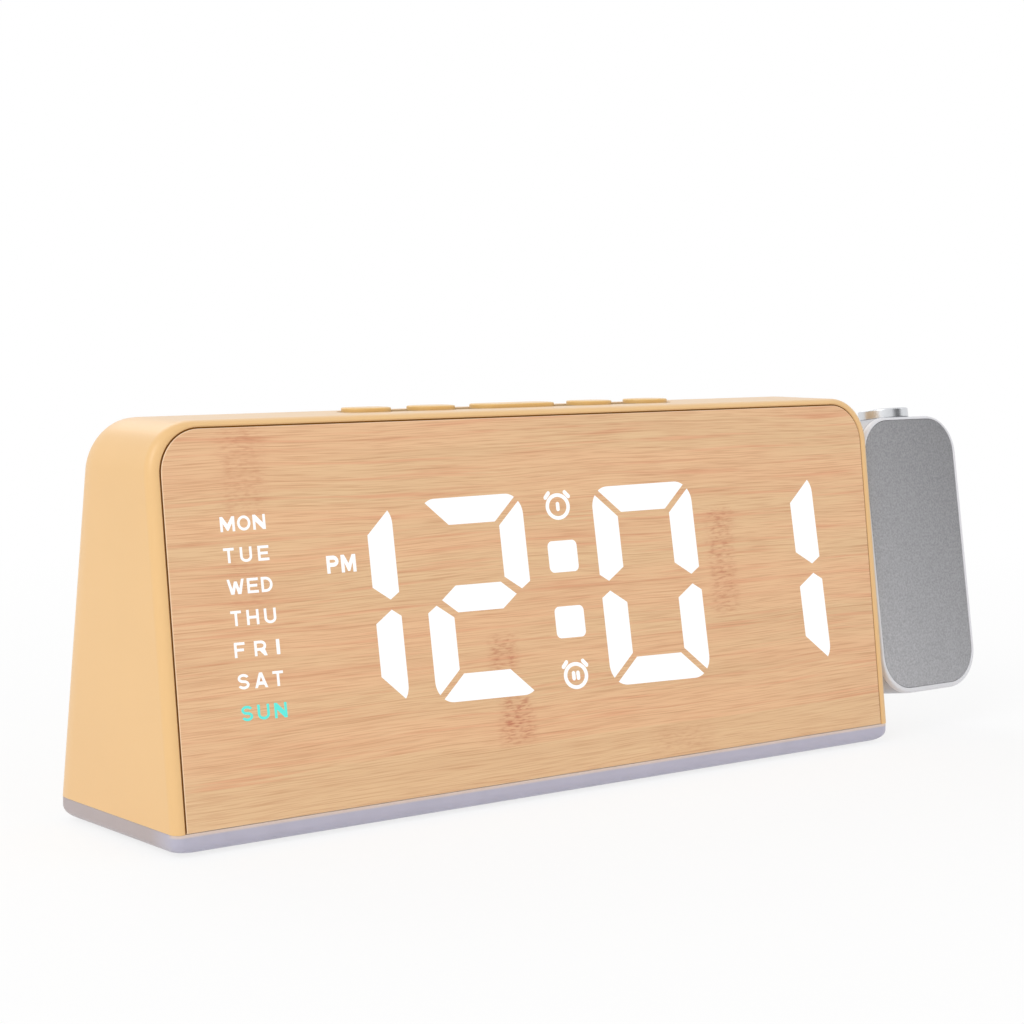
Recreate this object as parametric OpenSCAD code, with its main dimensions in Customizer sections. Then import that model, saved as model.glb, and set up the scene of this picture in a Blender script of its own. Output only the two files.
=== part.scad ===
// Projection alarm clock: a leaning table clock with a veneered light-through front, a night-light
// base and a projector that turns on the right-hand side. Millimetres, +Z up, front towards -Y.
// The origin is on the table, under the middle of the whole object.

/* [Clock body] */
// Width of the clock body, without the projector
body_w = 190; // [180:1:240]
// Depth of the clock body where it meets its base
body_d = 46; // [44:0.5:60]
// Height of the clock body above the underside of its base
body_h = 79.6; // [79:0.1:100]
// Lean of the front face back from upright, in degrees
front_lean = 6.8; // [5:0.1:7]
// Lean of the back face forward from upright, in degrees
back_lean = 10.3; // [6:0.1:11]
// Radius of the two upper corners, seen from the front
corner_r = 10; // [8:0.5:16]
// Thickness of the moulded shell's walls
wall = 2; // [1.6:0.1:2.6]
// Width of the rim beside the front panel and the rear cover
rim_w = 2.4; // [2.2:0.1:3]
// Height of the rim over the front panel and the rear cover
rim_top = 1.2; // [1:0.1:2.4]

/* [Front panel] */
// Thickness of the wood veneer
veneer_t = 0.6; // [0.4:0.1:1]
// Thickness of the plastic plate that carries the veneer
carrier_t = 1.2; // [1:0.1:2]
// Gap that shows as a dark line round the panel
panel_gap = 0.3; // [0.2:0.05:0.5]
// Height of one digit
digit_h = 43; // [36:0.5:44]
// Width of one digit
digit_w = 28.2; // [24:0.1:29]
// Width of a digit's segments
segment_w = 6; // [4:0.1:7]

/* [Base] */
// Height of the translucent night-light base
base_h = 4; // [3.6:0.1:6]
// How far the base narrows towards the table on each side
base_taper = 2.4; // [1:0.1:3]
// How far the rubber feet stand out under the base
foot_proud = 0.6; // [0.4:0.1:1.5]
// Radius of a rubber foot
foot_r = 5; // [4:0.5:6]

/* [Keys] */
// Width of the middle key
snooze_w = 21; // [16:0.5:30]
// Width of each of the other four keys
key_w = 10.8; // [9:0.1:13]
// Depth of every key
key_d = 7; // [5:0.1:8]
// Gap between neighbouring keys
key_gap = 5.4; // [4:0.1:8]
// How far the row of keys stands behind the middle of the top
key_back = 0.8; // [0:0.1:2]
// How far the keys stand out of the top
key_proud = 0.9; // [0.6:0.1:1.6]
// Travel of a pressed key
key_travel = 0.8; // [0.4:0.1:0.9]

/* [Projector] */
// Width of the projector across the clock's side
projector_w = 32.6; // [30:0.1:40]
// Height of the projector
projector_h = 65.7; // [62:0.1:72]
// Thickness of the projector from face to back
projector_d = 15; // [14.5:0.1:18]
// Corner radius of the projector's face
projector_r = 9.3; // [4:0.1:9.5]
// Gap between the projector and the clock body
projector_gap = 1.1; // [0.6:0.1:1.5]
// Lean of the projector back from upright at rest, in degrees
projector_lean = 8.4; // [0:0.1:15]
// Height of the projector's pivot above the underside of the base
pivot_h = 41.1; // [38:0.1:45]
// Distance of the pivot behind the front face
pivot_back = 10.1; // [9:0.1:14]
// Radius of the hollow pivot hub
hub_r = 4.4; // [3.6:0.1:4.5]
// Radius of the focus ring on top
focus_r = 6; // [5.4:0.1:6.4]
// Height of the focus ring above the projector's top
focus_h = 2.4; // [2:0.1:4]

/* [Ports] */
// Inner radius of the power inlet
inlet_r = 3.1; // [2.8:0.1:3.2]
// Width of the metal shell of the charging port
usb_w = 13.1; // [12:0.1:14]
// Height of the metal shell of the charging port
usb_h = 5.7; // [5:0.1:6]

/* [Hidden] */

// Fits
slip = 0.2;             // round a part that drops into a pocket
run = 0.06;             // radial, round a part that turns or slides
near = 0.1;             // face to face, between parts that move past each other
eps = 1;                // how far a cut runs past the face it opens
round_fn = 64;

// Levels and places of the clock body
body_x = -(projector_gap + projector_w) / 2;
base_z = foot_proud;
shell_z = base_z + base_h;
top_z = base_z + body_h;
side_x = body_x + body_w / 2;
function front_y(z) = -body_d / 2 + (z - shell_z) * tan(front_lean);
function back_y(z) = body_d / 2 - (z - shell_z) * tan(back_lean);

// Front opening, its ledge and what lies behind it
panel_t = veneer_t + carrier_t;
panel_w = body_w - 2 * rim_w;
panel_h = (body_h - base_h - rim_top) / cos(front_lean);
panel_r = corner_r - rim_top;
ledge_w = 2.2;
ledge_t = 1.5;
sheet_t = 0.4;
mask_t = 8;
board_t = 1.6;
mask_w = 162;
mask_h = 55;
mask_x = -2;
mask_s = 8;
board_edge = 2;                             // how far the board shows past the mask, above and below
board_left = mask_x - mask_w / 2 - 7;
board_right = mask_x + mask_w / 2 + 6;
sheet_n = -panel_t - sheet_t;
mask_n = sheet_n - mask_t;
board_n = mask_n - board_t;
function display_back_y(z) = front_y(z) - board_n / cos(front_lean);
post_r = 2.4;
post_x = [mask_x - mask_w / 2 - 3.5, mask_x + mask_w / 2 + 3];
post_s = [mask_s + 6, mask_s + mask_h - 7];

// Figures on the display, in the plane of the front face
digit_mid = [-54.6, -21.4, 24.9, 63.2];
digit_s = 16.8;
digit_shear = -0.045;
segment_gap = 1.3;
bar_x = (digit_w - segment_w) / 2;
bar_s = (digit_h - segment_w) / 2;
bars = [[0, 2 * bar_s, 0], [bar_x, 1.5 * bar_s, 1], [bar_x, bar_s / 2, 1], [0, 0, 0],
    [-bar_x, bar_s / 2, 1], [-bar_x, 1.5 * bar_s, 1], [0, bar_s, 0]];   // middle, and 1 if upright
all_bars = [0, 1, 2, 3, 4, 5, 6];
digit_bars = [[1, 2], all_bars, all_bars, all_bars];   // the first digit shows only a one
function bar_at(d, b) = [
    digit_mid[d] + bars[b][0] + digit_shear * bars[b][1],
    digit_s + segment_w / 2 + bars[b][1]
];
colon_x = 1.3;
colon_s = [31.5, 45.2];
colon_w = 7;
bell_at = [[2, 20.1], [0.6, 55.6]];
bell_r = 3.6;
half_day_at = [-54.1, 47.8];
half_day_size = [8.4, 4.6];
day_x = -75.5;
day_s = 20.8;
day_pitch = 6;
day_size = [12.4, 4.2];
day_count = 7;
led_a = 2;
led_t = 0.8;

// Rear opening and cover
cover_t = 2;
cover_h = (body_h - base_h - rim_top) / cos(back_lean);
cover_s = cover_t * tan(back_lean) + near;         // keeps the slanted lower edge off the base
rear_boss_r = 3;
rear_boss_l = 9;
rear_screw_at = [for (side = [-1, 1]) for (s = [9, cover_h - 9]) [side * (body_w / 2 - 10), s]];

// Screws: shank and head
pin_r = 1;
pin_head_r = 2;
pin_head_t = 1.2;

// Keys
key_lip = 1;
key_lip_t = 1.1;
key_stem_r = 1.6;
key_stem_l = 1;
key_lip_z = top_z - wall - near - key_lip_t;
key_y = (front_y(top_z) + back_y(top_z)) / 2 + key_back;
inner_key_x = snooze_w / 2 + key_gap + key_w / 2;
outer_key_x = inner_key_x + key_gap + key_w;
key_x = [-outer_key_x, -inner_key_x, 0, inner_key_x, outer_key_x];
function key_cap_w(i) = i == 2 ? snooze_w : key_w;
switch_a = 6;
switch_h = 3.4;
plunger_r = 1.7;
plunger_h = 1;
plunger_z = key_lip_z - key_stem_l - key_travel - near;
key_board_t = 1.2;
key_board_d = 11;
key_board_z = plunger_z - plunger_h - switch_h - key_board_t;
key_post_r = 2.5;
key_post_x = outer_key_x + key_w / 2 + 4;
key_board_w = 2 * key_post_x + 2 * key_post_r + 1;

// Battery, behind the rear cover
cell_r = 10;
cell_t = 3.2;
door_r = 12;
door_lug_r = 13.4;
door_lug_w = 6;
door_lug_t = 1;
battery_at = [-46, 40];
cup_in_r = door_lug_r + 0.4;
cup_wall = 1.2;
cup_l = 7.2;
cup_floor = 1.2;
contact_t = 0.4;

// Speaker, behind the rear cover
speaker_r = 14;
speaker_magnet_r = 7;
speaker_frame_t = 2;
speaker_t = 5;
speaker_at = [40, 40];
slot_count = 7;
slot_pitch = 3;
slot_w = 1.5;

// Base
base_corner_r = 2.1;
tray_low_h = 2.4;                           // depth of the tray's lower pocket
tray_wall = 6;
tray_hole = [150, 22];
plate_t = 1.8;
plate_z = base_z + tray_low_h - plate_t;
base_screw_at = [for (side = [-1, 1]) for (y = [-6.5, 9]) [side * (body_w / 2 - 15), y]];
base_boss_r = 3;
base_boss_h = 7;
foot_at = [for (side = [-1, 1]) for (y = [-9, 9]) [side * (body_w / 2 - 17), y]];
strip_groove = [160, 4.4, 1.6];
strip_t = 0.8;
strip_led = [2.8, 2.4, 0.7];
strip_led_count = 9;
strip_y = [-16.8, 16.8];
tray_lip = [1.6, 24, 3];

// Main board, on posts of the base plate
main_board_z = shell_z + 4.6;
main_board_x = [-62, 18];
main_board_y = [-7, 15.5];
main_post_r = 2.4;
main_post_at = [for (x = [main_board_x[0] + 5, main_board_x[1] - 5]) for (y = [-3.5, 8]) [x, y]];
chip_size = [10, 10, 1.4];

// Ports, standing on the main board and facing the back
jack_size = [9, 13, 11];
jack_x = -46;
jack_z = main_board_z + board_t + jack_size[2] / 2;
jack_bore_l = 9.5;
jack_pin_r = 1.05;
jack_y = back_y(jack_z + jack_size[2] / 2) - 0.3;
usb_l = 14;
usb_wall = 0.4;
usb_x = -25;
usb_z = main_board_z + board_t + usb_h / 2;
usb_y = back_y(usb_z + usb_h / 2) - 0.3;
usb_tongue = [10.2, 9, 1.8];
ribbon_w = 14;
ribbon_t = 0.6;

// Pivot of the projector
pivot_z = base_z + pivot_h;
pivot_y = front_y(pivot_z) + pivot_back;
bearing_l = 5;                              // wall and boss that the hub turns in
bearing_r = hub_r + 3.6;
spring_t = 0.6;
clip_t = 0.8;
groove_depth = 0.6;
hub_tail = 1;
hub_bore_r = 2.4;
washer_r = hub_r + 3;
hub_plate = [1.5, 18, 9.6];
hub_screw_u = 7;
lead_r = 1.4;
hub_end = -(bearing_l + near + spring_t + clip_t + hub_tail);
socket_size = [5.6, 8, 5.2];

// Projector: x from the clock's side, u up its length, n out of its face
tub_wall = 1.5;
bezel_d = 2.8;
rim_face = 1;
face_t = 1;
bezel_web = 1.2;
half_d = projector_d / 2;
parting_n = half_d - bezel_d;
tub_top = projector_h / 2;
lens_x = projector_gap + projector_w / 2;
hub_pad_t = 1.2;
hub_in = projector_gap + tub_wall + hub_pad_t;
bezel_boss_r = 2.2;
boss_off = (projector_r - tub_wall - bezel_boss_r - slip) / sqrt(2);
boss_dx = projector_w / 2 - projector_r + boss_off;
boss_du = projector_h / 2 - projector_r + boss_off;
opt_r = half_d - tub_wall - 0.9;
opt_in_r = opt_r - 0.7;
opt_low = 5;
neck_r = 4.3;
neck_l = 6.5;
cell_out_r = 3.7;
cell_in_r = 3;
opt_high = tub_top - neck_l - 0.6;
focus_travel = 2.4;
cell_recess = 2.2;                          // from the ring's rim down to the lens cell when it is raised
lens_cell_l = 9;
lens_cell_u = tub_top + focus_h - cell_recess - focus_travel - lens_cell_l;
lens_ball = 5;
lens_t = 3;
proj_board = [23, 26, 1.2];
proj_board_u = -24;
proj_board_n = -half_d + tub_wall + 0.3;
header_size = [5, 6];
lamp_board_t = 1.2;
lamp_size = [3.5, 1.5, 3.5];
film_a = sqrt(2) * (opt_in_r - run);
film_t = 0.8;
condenser_t = 3;
condenser_edge = 1.1;
condenser_dome = condenser_t - condenser_edge;
condenser_ball = (pow(opt_in_r, 2) + pow(condenser_dome, 2)) / (2 * condenser_dome);
condenser_u = opt_low + 4;
film_u = opt_low + 10;

// Colours
shell_colour = "#f1cb95";
key_colour = "#ecc486";
board_colour = "#1f6b45";
steel_colour = "#b8bcc0";

// ---- Frames ----

// Plane of the front face: x across, s up the slope from the base, n outwards
module on_front(x = 0, s = 0, n = 0)
    translate([body_x, -body_d / 2, shell_z])
        rotate([90 - front_lean, 0, 0])
            translate([x, s, n])
                children();

// Plane of the back face, seen from behind: x to its right, s up the slope, n outwards
module on_back(x = 0, s = 0, n = 0)
    translate([body_x, body_d / 2, shell_z])
        rotate([90 - back_lean, 0, 180])
            translate([x, s, n])
                children();

// Projector: x away from the clock, u up its length, n out of its face
module on_projector(x = 0, u = 0, n = 0)
    translate([side_x, pivot_y, pivot_z])
        rotate([90 - projector_lean, 0, 0])
            translate([x, u, n])
                children();

// Cylinder along the pivot, from x0 to x1 of the projector's frame
module pivot_round(r, x0, x1)
    on_projector(x = x0)
        rotate([0, 90, 0])
            cylinder(r = r, h = x1 - x0, $fn = round_fn);

// Cylinder along the projector's length, on its optical axis, from u0 to u1
module optic_round(r, u0, u1)
    on_projector(x = lens_x, u = u0)
        rotate([-90, 0, 0])
            cylinder(r = r, h = u1 - u0, $fn = round_fn);

// ---- Outlines ----

// Flat foot and two rounded upper corners
module arch(w, h, r) {
    translate([-w / 2, 0])
        square([w, h - r]);
    translate([-w / 2 + r, 0])
        square([w - 2 * r, h]);
    for (side = [-1, 1])
        translate([side * (w / 2 - r), h - r])
            circle(r = r, $fn = round_fn);
}

// Rectangle with four rounded corners, about its centre
module round_rect(w, h, r) {
    square([w - 2 * r, h], center = true);
    square([w, h - 2 * r], center = true);
    for (x = [-1, 1])
        for (y = [-1, 1])
            translate([x * (w / 2 - r), y * (h / 2 - r)])
                circle(r = r, $fn = round_fn);
}

// Bar with half-round ends
module pill(w, d) {
    square([w - d, d], center = true);
    for (side = [-1, 1])
        translate([side * (w - d) / 2, 0])
            circle(d = d, $fn = round_fn);
}

// Side view of the body between its front and back planes, each moved in by a wall
module side_view(front, back, low)
    polygon([
        [front_y(low) + front / cos(front_lean), low],
        [back_y(low) - back / cos(back_lean), low],
        [back_y(top_z) - back / cos(back_lean), top_z],
        [front_y(top_z) + front / cos(front_lean), top_z]
    ]);

// The body as a solid block, or its hollow when the walls are given
module body_block(side = 0, front = 0, back = 0, low = shell_z)
    intersection() {
        translate([body_x, body_d, low])
            rotate([90, 0, 0])
                linear_extrude(2 * body_d)
                    arch(body_w - 2 * side, top_z - side - low, corner_r - side);
        translate([body_x - body_w, 0, 0])
            rotate([90, 0, 90])
                linear_extrude(2 * body_w)
                    side_view(front, back, low);
    }

// Screw along +Z, its head's underside at z = 0 and its shank above it
module pin_screw(l) {
    cylinder(r = pin_r, h = l, $fn = round_fn);
    translate([0, 0, -pin_head_t])
        cylinder(r = pin_head_r, h = pin_head_t, $fn = round_fn);
}

// One bar of a digit, along x, with mitred ends
module segment(l)
    polygon([
        [-l / 2, 0],
        [-l / 2 + segment_w / 2, segment_w / 2],
        [l / 2 - segment_w / 2, segment_w / 2],
        [l / 2, 0],
        [l / 2 - segment_w / 2, -segment_w / 2],
        [-l / 2 + segment_w / 2, -segment_w / 2]
    ]);

// Every light window of the display
module display_windows() {
    for (d = [0:3])
        for (b = digit_bars[d])
            translate(bar_at(d, b))
                rotate(bars[b][2] * 90)
                    segment((bars[b][2] > 0 ? bar_s : 2 * bar_x) - segment_gap);
    for (s = colon_s)
        translate([colon_x, s])
            square(colon_w, center = true);
    for (p = bell_at)
        translate(p)
            circle(r = bell_r, $fn = round_fn);
    translate(half_day_at)
        square(half_day_size, center = true);
    for (i = [0:day_count - 1])
        translate([day_x, day_s + i * day_pitch])
            square(day_size, center = true);
}

// ---- Clock body ----

module main_shell() {
    color(shell_colour)
    difference() {
        union() {
            difference() {
                body_block();
                body_block(wall, panel_t + ledge_t, cover_t + ledge_t, shell_z - eps);
            }
            pivot_round(bearing_r, -bearing_l, -wall / 2);
            intersection() {
                body_block(wall / 2, panel_t, cover_t);
                union() {
                    rear_bosses();
                    base_bosses();
                    key_posts();
                }
            }
        }
        // pocket of the front panel and the window behind it
        on_front(s = -eps, n = -panel_t)
            linear_extrude(panel_t + eps)
                arch(panel_w, panel_h + eps, panel_r);
        on_front(s = ledge_w, n = -panel_t - ledge_t - eps)
            linear_extrude(ledge_t + 2 * eps)
                arch(panel_w - 2 * ledge_w, panel_h - 2 * ledge_w, panel_r - ledge_w);
        // pocket of the rear cover and the window behind it
        on_back(s = -eps, n = -cover_t)
            linear_extrude(cover_t + eps)
                arch(panel_w, cover_h + eps, panel_r);
        difference() {
            on_back(s = ledge_w, n = -cover_t - ledge_t - eps)
                linear_extrude(ledge_t + 2 * eps)
                    arch(panel_w - 2 * ledge_w, cover_h - 2 * ledge_w, panel_r - ledge_w);
            rear_bosses();
        }
        // openings of the keys
        for (i = [0:4])
            translate([body_x + key_x[i], key_y, top_z - wall - eps])
                linear_extrude(wall + 2 * eps)
                    pill(key_cap_w(i) + 2 * slip, key_d + 2 * slip);
        // bearing of the pivot hub
        pivot_round(hub_r + run, -bearing_l - eps, eps);
        // screw holes
        for (p = rear_screw_at)
            on_back(p[0], p[1], -cover_t - rear_boss_l + eps)
                cylinder(r = pin_r, h = rear_boss_l + eps, $fn = round_fn);
        for (p = base_screw_at)
            translate([body_x + p[0], p[1], shell_z - eps])
                cylinder(r = pin_r, h = base_boss_h, $fn = round_fn);
        for (side = [-1, 1])
            translate([body_x + side * key_post_x, key_y, key_board_z])
                cylinder(r = pin_r, h = top_z - wall - key_board_z, $fn = round_fn);
    }
}

// Bosses for the rear screws, each with a web to the side wall
module rear_bosses()
    for (p = rear_screw_at) {
        on_back(p[0], p[1], -cover_t - rear_boss_l)
            cylinder(r = rear_boss_r, h = rear_boss_l, $fn = round_fn);
        on_back(p[0] > 0 ? p[0] : -body_w / 2, p[1] - wall / 2, -cover_t - rear_boss_l)
            cube([body_w / 2 - abs(p[0]), wall, rear_boss_l]);
    }

// Bosses for the base screws, each with a web to the side wall
module base_bosses()
    for (p = base_screw_at) {
        translate([body_x + p[0], p[1], shell_z])
            cylinder(r = base_boss_r, h = base_boss_h, $fn = round_fn);
        translate([body_x + (p[0] > 0 ? p[0] : -body_w / 2), p[1] - wall / 2, shell_z + tray_lip[2] + slip])
            cube([body_w / 2 - abs(p[0]), wall, base_boss_h - tray_lip[2] - slip]);
    }

// Posts that hang from the top and carry the key board
module key_posts()
    for (side = [-1, 1])
        translate([body_x + side * key_post_x, key_y, key_board_z + key_board_t])
            cylinder(r = key_post_r, h = top_z - wall / 2 - key_board_z - key_board_t, $fn = round_fn);

module veneer_face()
    color("#e3b98c")
    on_front(s = panel_gap, n = -veneer_t)
        linear_extrude(veneer_t)
            arch(panel_w - 2 * panel_gap, panel_h - 2 * panel_gap, panel_r - panel_gap);

module panel_carrier()
    color("#3a3330")
    difference() {
        union() {
            on_front(s = panel_gap, n = -panel_t)
                linear_extrude(carrier_t)
                    arch(panel_w - 2 * panel_gap, panel_h - 2 * panel_gap, panel_r - panel_gap);
            for (x = post_x)
                for (s = post_s)
                    on_front(x, s, mask_n)
                        cylinder(r = post_r, h = mask_t + sheet_t + carrier_t / 2, $fn = round_fn);
        }
        for (x = post_x)
            for (s = post_s)
                on_front(x, s, mask_n - eps)
                    cylinder(r = pin_r, h = mask_t, $fn = round_fn);
    }

module diffuser_sheet()
    color("#f6f6f2")
    on_front(mask_x - mask_w / 2, mask_s, sheet_n)
        cube([mask_w, mask_h, sheet_t]);

module light_mask()
    color("#f2f2ee")
    difference() {
        on_front(mask_x - mask_w / 2, mask_s, mask_n)
            cube([mask_w, mask_h, mask_t]);
        on_front(n = mask_n - eps)
            linear_extrude(mask_t + 2 * eps)
                display_windows();
    }

module display_board()
    color(board_colour)
    difference() {
        on_front(board_left, mask_s - board_edge, board_n)
            cube([board_right - board_left, mask_h + 2 * board_edge, board_t]);
        for (x = post_x)
            for (s = post_s)
                on_front(x, s, board_n - eps)
                    cylinder(r = pin_r + near, h = board_t + 2 * eps, $fn = round_fn);
        // notch for the projector's socket
        socket_block(slip, board_t);
    }

// Block of the lead socket on the pivot, grown by a clearance and run out past the board's edge
module socket_block(grow, out)
    on_projector(-body_w / 2 + board_right - socket_size[0] - grow, -socket_size[1] / 2 - grow,
            -socket_size[2] / 2 - grow)
        cube([socket_size[0] + 2 * grow + out, socket_size[1] + 2 * grow, socket_size[2] + 2 * grow]);

// Light-emitting chips, one behind each window
module display_leds()
    color("#fff6d8") {
        for (d = [0:3])
            for (b = digit_bars[d])
                display_led(bar_at(d, b));
        for (s = colon_s)
            display_led([colon_x, s]);
        for (p = bell_at)
            display_led(p);
        display_led(half_day_at);
        for (i = [0:day_count - 1])
            display_led([day_x, day_s + i * day_pitch]);
    }

module display_led(p)
    on_front(p[0] - led_a / 2, p[1] - led_a / 2, mask_n)
        cube([led_a, led_a, led_t]);

module display_screws()
    color(steel_colour)
    for (x = post_x)
        for (s = post_s)
            on_front(x, s, board_n)
                pin_screw(mask_t / 2 + board_t);

module key_board()
    color(board_colour)
    difference() {
        translate([body_x - key_board_w / 2, key_y - key_board_d / 2, key_board_z])
            cube([key_board_w, key_board_d, key_board_t]);
        for (side = [-1, 1])
            translate([body_x + side * key_post_x, key_y, key_board_z - eps])
                cylinder(r = pin_r + near, h = key_board_t + 2 * eps, $fn = round_fn);
    }

module key_switches()
    for (x = key_x)
        translate([body_x + x, key_y, key_board_z + key_board_t]) {
            color("#2b2b2d")
                translate([-switch_a / 2, -switch_a / 2, 0])
                    cube([switch_a, switch_a, switch_h]);
            color("#d8d2c4")
                translate([0, 0, switch_h])
                    cylinder(r = plunger_r, h = plunger_h, $fn = round_fn);
        }

module key_board_screws()
    color(steel_colour)
    for (side = [-1, 1])
        translate([body_x + side * key_post_x, key_y, key_board_z])
            pin_screw(key_board_t + 4);

// A key: cap through the top, lip under the wall and stem over its switch
module key(i)
    color(key_colour)
    translate([body_x + key_x[i], key_y, key_lip_z]) {
        linear_extrude(key_lip_t)
            pill(key_cap_w(i) + 2 * key_lip, key_d + 2 * key_lip);
        linear_extrude(top_z + key_proud - key_lip_z)
            pill(key_cap_w(i), key_d);
        translate([0, 0, -key_stem_l])
            cylinder(r = key_stem_r, h = key_stem_l + key_lip_t / 2, $fn = round_fn);
    }

module mode_key() key(0);
module down_key() key(1);
module snooze_key() key(2);
module up_key() key(3);
module alarm_key() key(4);

// ---- Rear ----

module rear_cover()
    color(shell_colour)
    difference() {
        on_back(s = cover_s, n = -cover_t)
            linear_extrude(cover_t)
                arch(panel_w - 2 * panel_gap, cover_h - panel_gap - cover_s, panel_r - panel_gap);
        for (p = rear_screw_at) {
            on_back(p[0], p[1], -cover_t - eps)
                cylinder(r = pin_r + near, h = cover_t + 2 * eps, $fn = round_fn);
            on_back(p[0], p[1], -pin_head_t)
                cylinder(r = pin_head_r + slip, h = pin_head_t + eps, $fn = round_fn);
        }
        // sound slots, shorter towards the edge of the speaker
        for (i = [0:slot_count - 1]) {
            off = (i - (slot_count - 1) / 2) * slot_pitch;
            on_back(speaker_at[0], speaker_at[1] + off, -cover_t - eps)
                linear_extrude(cover_t + 2 * eps)
                    pill(2 * sqrt(pow(speaker_r - 2, 2) - off * off), slot_w);
        }
        // battery opening with two gaps that let the door's lugs in when it is turned
        on_back(battery_at[0], battery_at[1], -cover_t - eps)
            cylinder(r = door_r + slip, h = cover_t + 2 * eps, $fn = round_fn);
        on_back(battery_at[0], battery_at[1], -cover_t / 2)
            cube([2 * door_lug_r + 2 * slip, door_lug_w + 2 * slip, cover_t + 2 * eps], center = true);
        // ports, cut straight back
        translate([body_x + jack_x - jack_size[0] / 2 - slip, 0, jack_z - jack_size[2] / 2 - slip])
            cube([jack_size[0] + 2 * slip, body_d, jack_size[2] + 2 * slip]);
        translate([body_x + usb_x - usb_w / 2 - slip, 0, usb_z - usb_h / 2 - slip])
            cube([usb_w + 2 * slip, body_d, usb_h + 2 * slip]);
    }

module rear_screws()
    color(steel_colour)
    for (p = rear_screw_at)
        on_back(p[0], p[1], -pin_head_t)
            rotate([180, 0, 0])
                pin_screw(rear_boss_l - 2);

module speaker()
    color("#2a2a2c")
    on_back(speaker_at[0], speaker_at[1], -cover_t)
        rotate([180, 0, 0]) {
            difference() {
                cylinder(r = speaker_r, h = speaker_frame_t, $fn = round_fn);
                translate([0, 0, -eps])
                    cylinder(r = speaker_r - 1.6, h = 1.2 + eps, $fn = round_fn);
            }
            cylinder(r = speaker_magnet_r, h = speaker_t, $fn = round_fn);
        }

module battery_cup()
    color("#d9d6cc")
    on_back(battery_at[0], battery_at[1], -cover_t - cup_l)
        difference() {
            cylinder(r = cup_in_r + cup_wall, h = cup_l, $fn = round_fn);
            translate([0, 0, cup_floor])
                cylinder(r = cup_in_r, h = cup_l, $fn = round_fn);
        }

module battery_contacts()
    color("#c9c3a4") {
        on_back(battery_at[0] - 3, battery_at[1] - 8, -cover_t - cup_l + cup_floor)
            cube([6, 16, contact_t]);
        on_back(battery_at[0] - 3, battery_at[1] + cell_r + near,
                -cover_t - cup_l + cup_floor)
            cube([6, contact_t, cell_t]);
    }

module coin_cell()
    color("#cfd2d4")
    on_back(battery_at[0], battery_at[1], -cover_t - cup_l + cup_floor + contact_t)
        cylinder(r = cell_r, h = cell_t, $fn = round_fn);

// Round door with two lugs under the cover and a coin slot in its face
module battery_door()
    color(shell_colour)
    difference() {
        union() {
            on_back(battery_at[0], battery_at[1], -cover_t - near - door_lug_t)
                cylinder(r = door_r, h = cover_t + near + door_lug_t, $fn = round_fn);
            intersection() {
                on_back(battery_at[0], battery_at[1], -cover_t - near - door_lug_t)
                    cylinder(r = door_lug_r, h = door_lug_t, $fn = round_fn);
                on_back(battery_at[0] - door_lug_w / 2, battery_at[1] - door_lug_r,
                        -cover_t - near - door_lug_t)
                    cube([door_lug_w, 2 * door_lug_r, door_lug_t]);
            }
        }
        on_back(battery_at[0] - 7, battery_at[1] - 0.9, -1)
            cube([14, 1.8, 1 + eps]);
    }

// ---- Main board and ports ----

module main_board()
    color(board_colour)
    difference() {
        translate([body_x + main_board_x[0], main_board_y[0], main_board_z])
            cube([main_board_x[1] - main_board_x[0], main_board_y[1] - main_board_y[0], board_t]);
        for (p = main_post_at)
            translate([body_x + p[0], p[1], main_board_z - eps])
                cylinder(r = pin_r + near, h = board_t + 2 * eps, $fn = round_fn);
    }

module main_board_screws()
    color(steel_colour)
    for (p = main_post_at)
        translate([body_x + p[0], p[1], main_board_z + board_t])
            rotate([180, 0, 0])
                pin_screw(board_t + 3);

module control_chip()
    color("#202124")
    translate([body_x - 5 - chip_size[0] / 2, 3 - chip_size[1] / 2, main_board_z + board_t])
        cube(chip_size);

module power_jack()
    color("#26262a") {
        difference() {
            translate([body_x + jack_x - jack_size[0] / 2, jack_y - jack_size[1], jack_z - jack_size[2] / 2])
                cube(jack_size);
            translate([body_x + jack_x, jack_y + eps, jack_z])
                rotate([90, 0, 0])
                    cylinder(r = inlet_r, h = jack_bore_l + eps, $fn = round_fn);
        }
        translate([body_x + jack_x, jack_y - 1, jack_z])
            rotate([90, 0, 0])
                cylinder(r = jack_pin_r, h = jack_bore_l, $fn = round_fn);
    }

module usb_port()
    color("#c4c7ca") {
        difference() {
            translate([body_x + usb_x - usb_w / 2, usb_y - usb_l, usb_z - usb_h / 2])
                cube([usb_w, usb_l, usb_h]);
            translate([body_x + usb_x - usb_w / 2 + usb_wall, usb_y - usb_l + 3,
                    usb_z - usb_h / 2 + usb_wall])
                cube([usb_w - 2 * usb_wall, usb_l, usb_h - 2 * usb_wall]);
        }
        translate([body_x + usb_x - usb_tongue[0] / 2, usb_y - usb_l + 2.5, usb_z])
            cube(usb_tongue);
    }

// Flat cable from the back of the display board down to the main board
module display_ribbon()
    color("#d9d9dd") {
        on_front(-30, mask_s + 2, board_n - ribbon_t)
            cube([ribbon_w, 14, ribbon_t]);
        ribbon_y = display_back_y(main_board_z + board_t + 2);
        translate([body_x - 30, ribbon_y + 0.4, main_board_z + board_t])
            cube([ribbon_w, ribbon_t, 5]);
        translate([body_x - 30, ribbon_y + 0.4, main_board_z + board_t])
            cube([ribbon_w, 9, ribbon_t]);
    }

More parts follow.
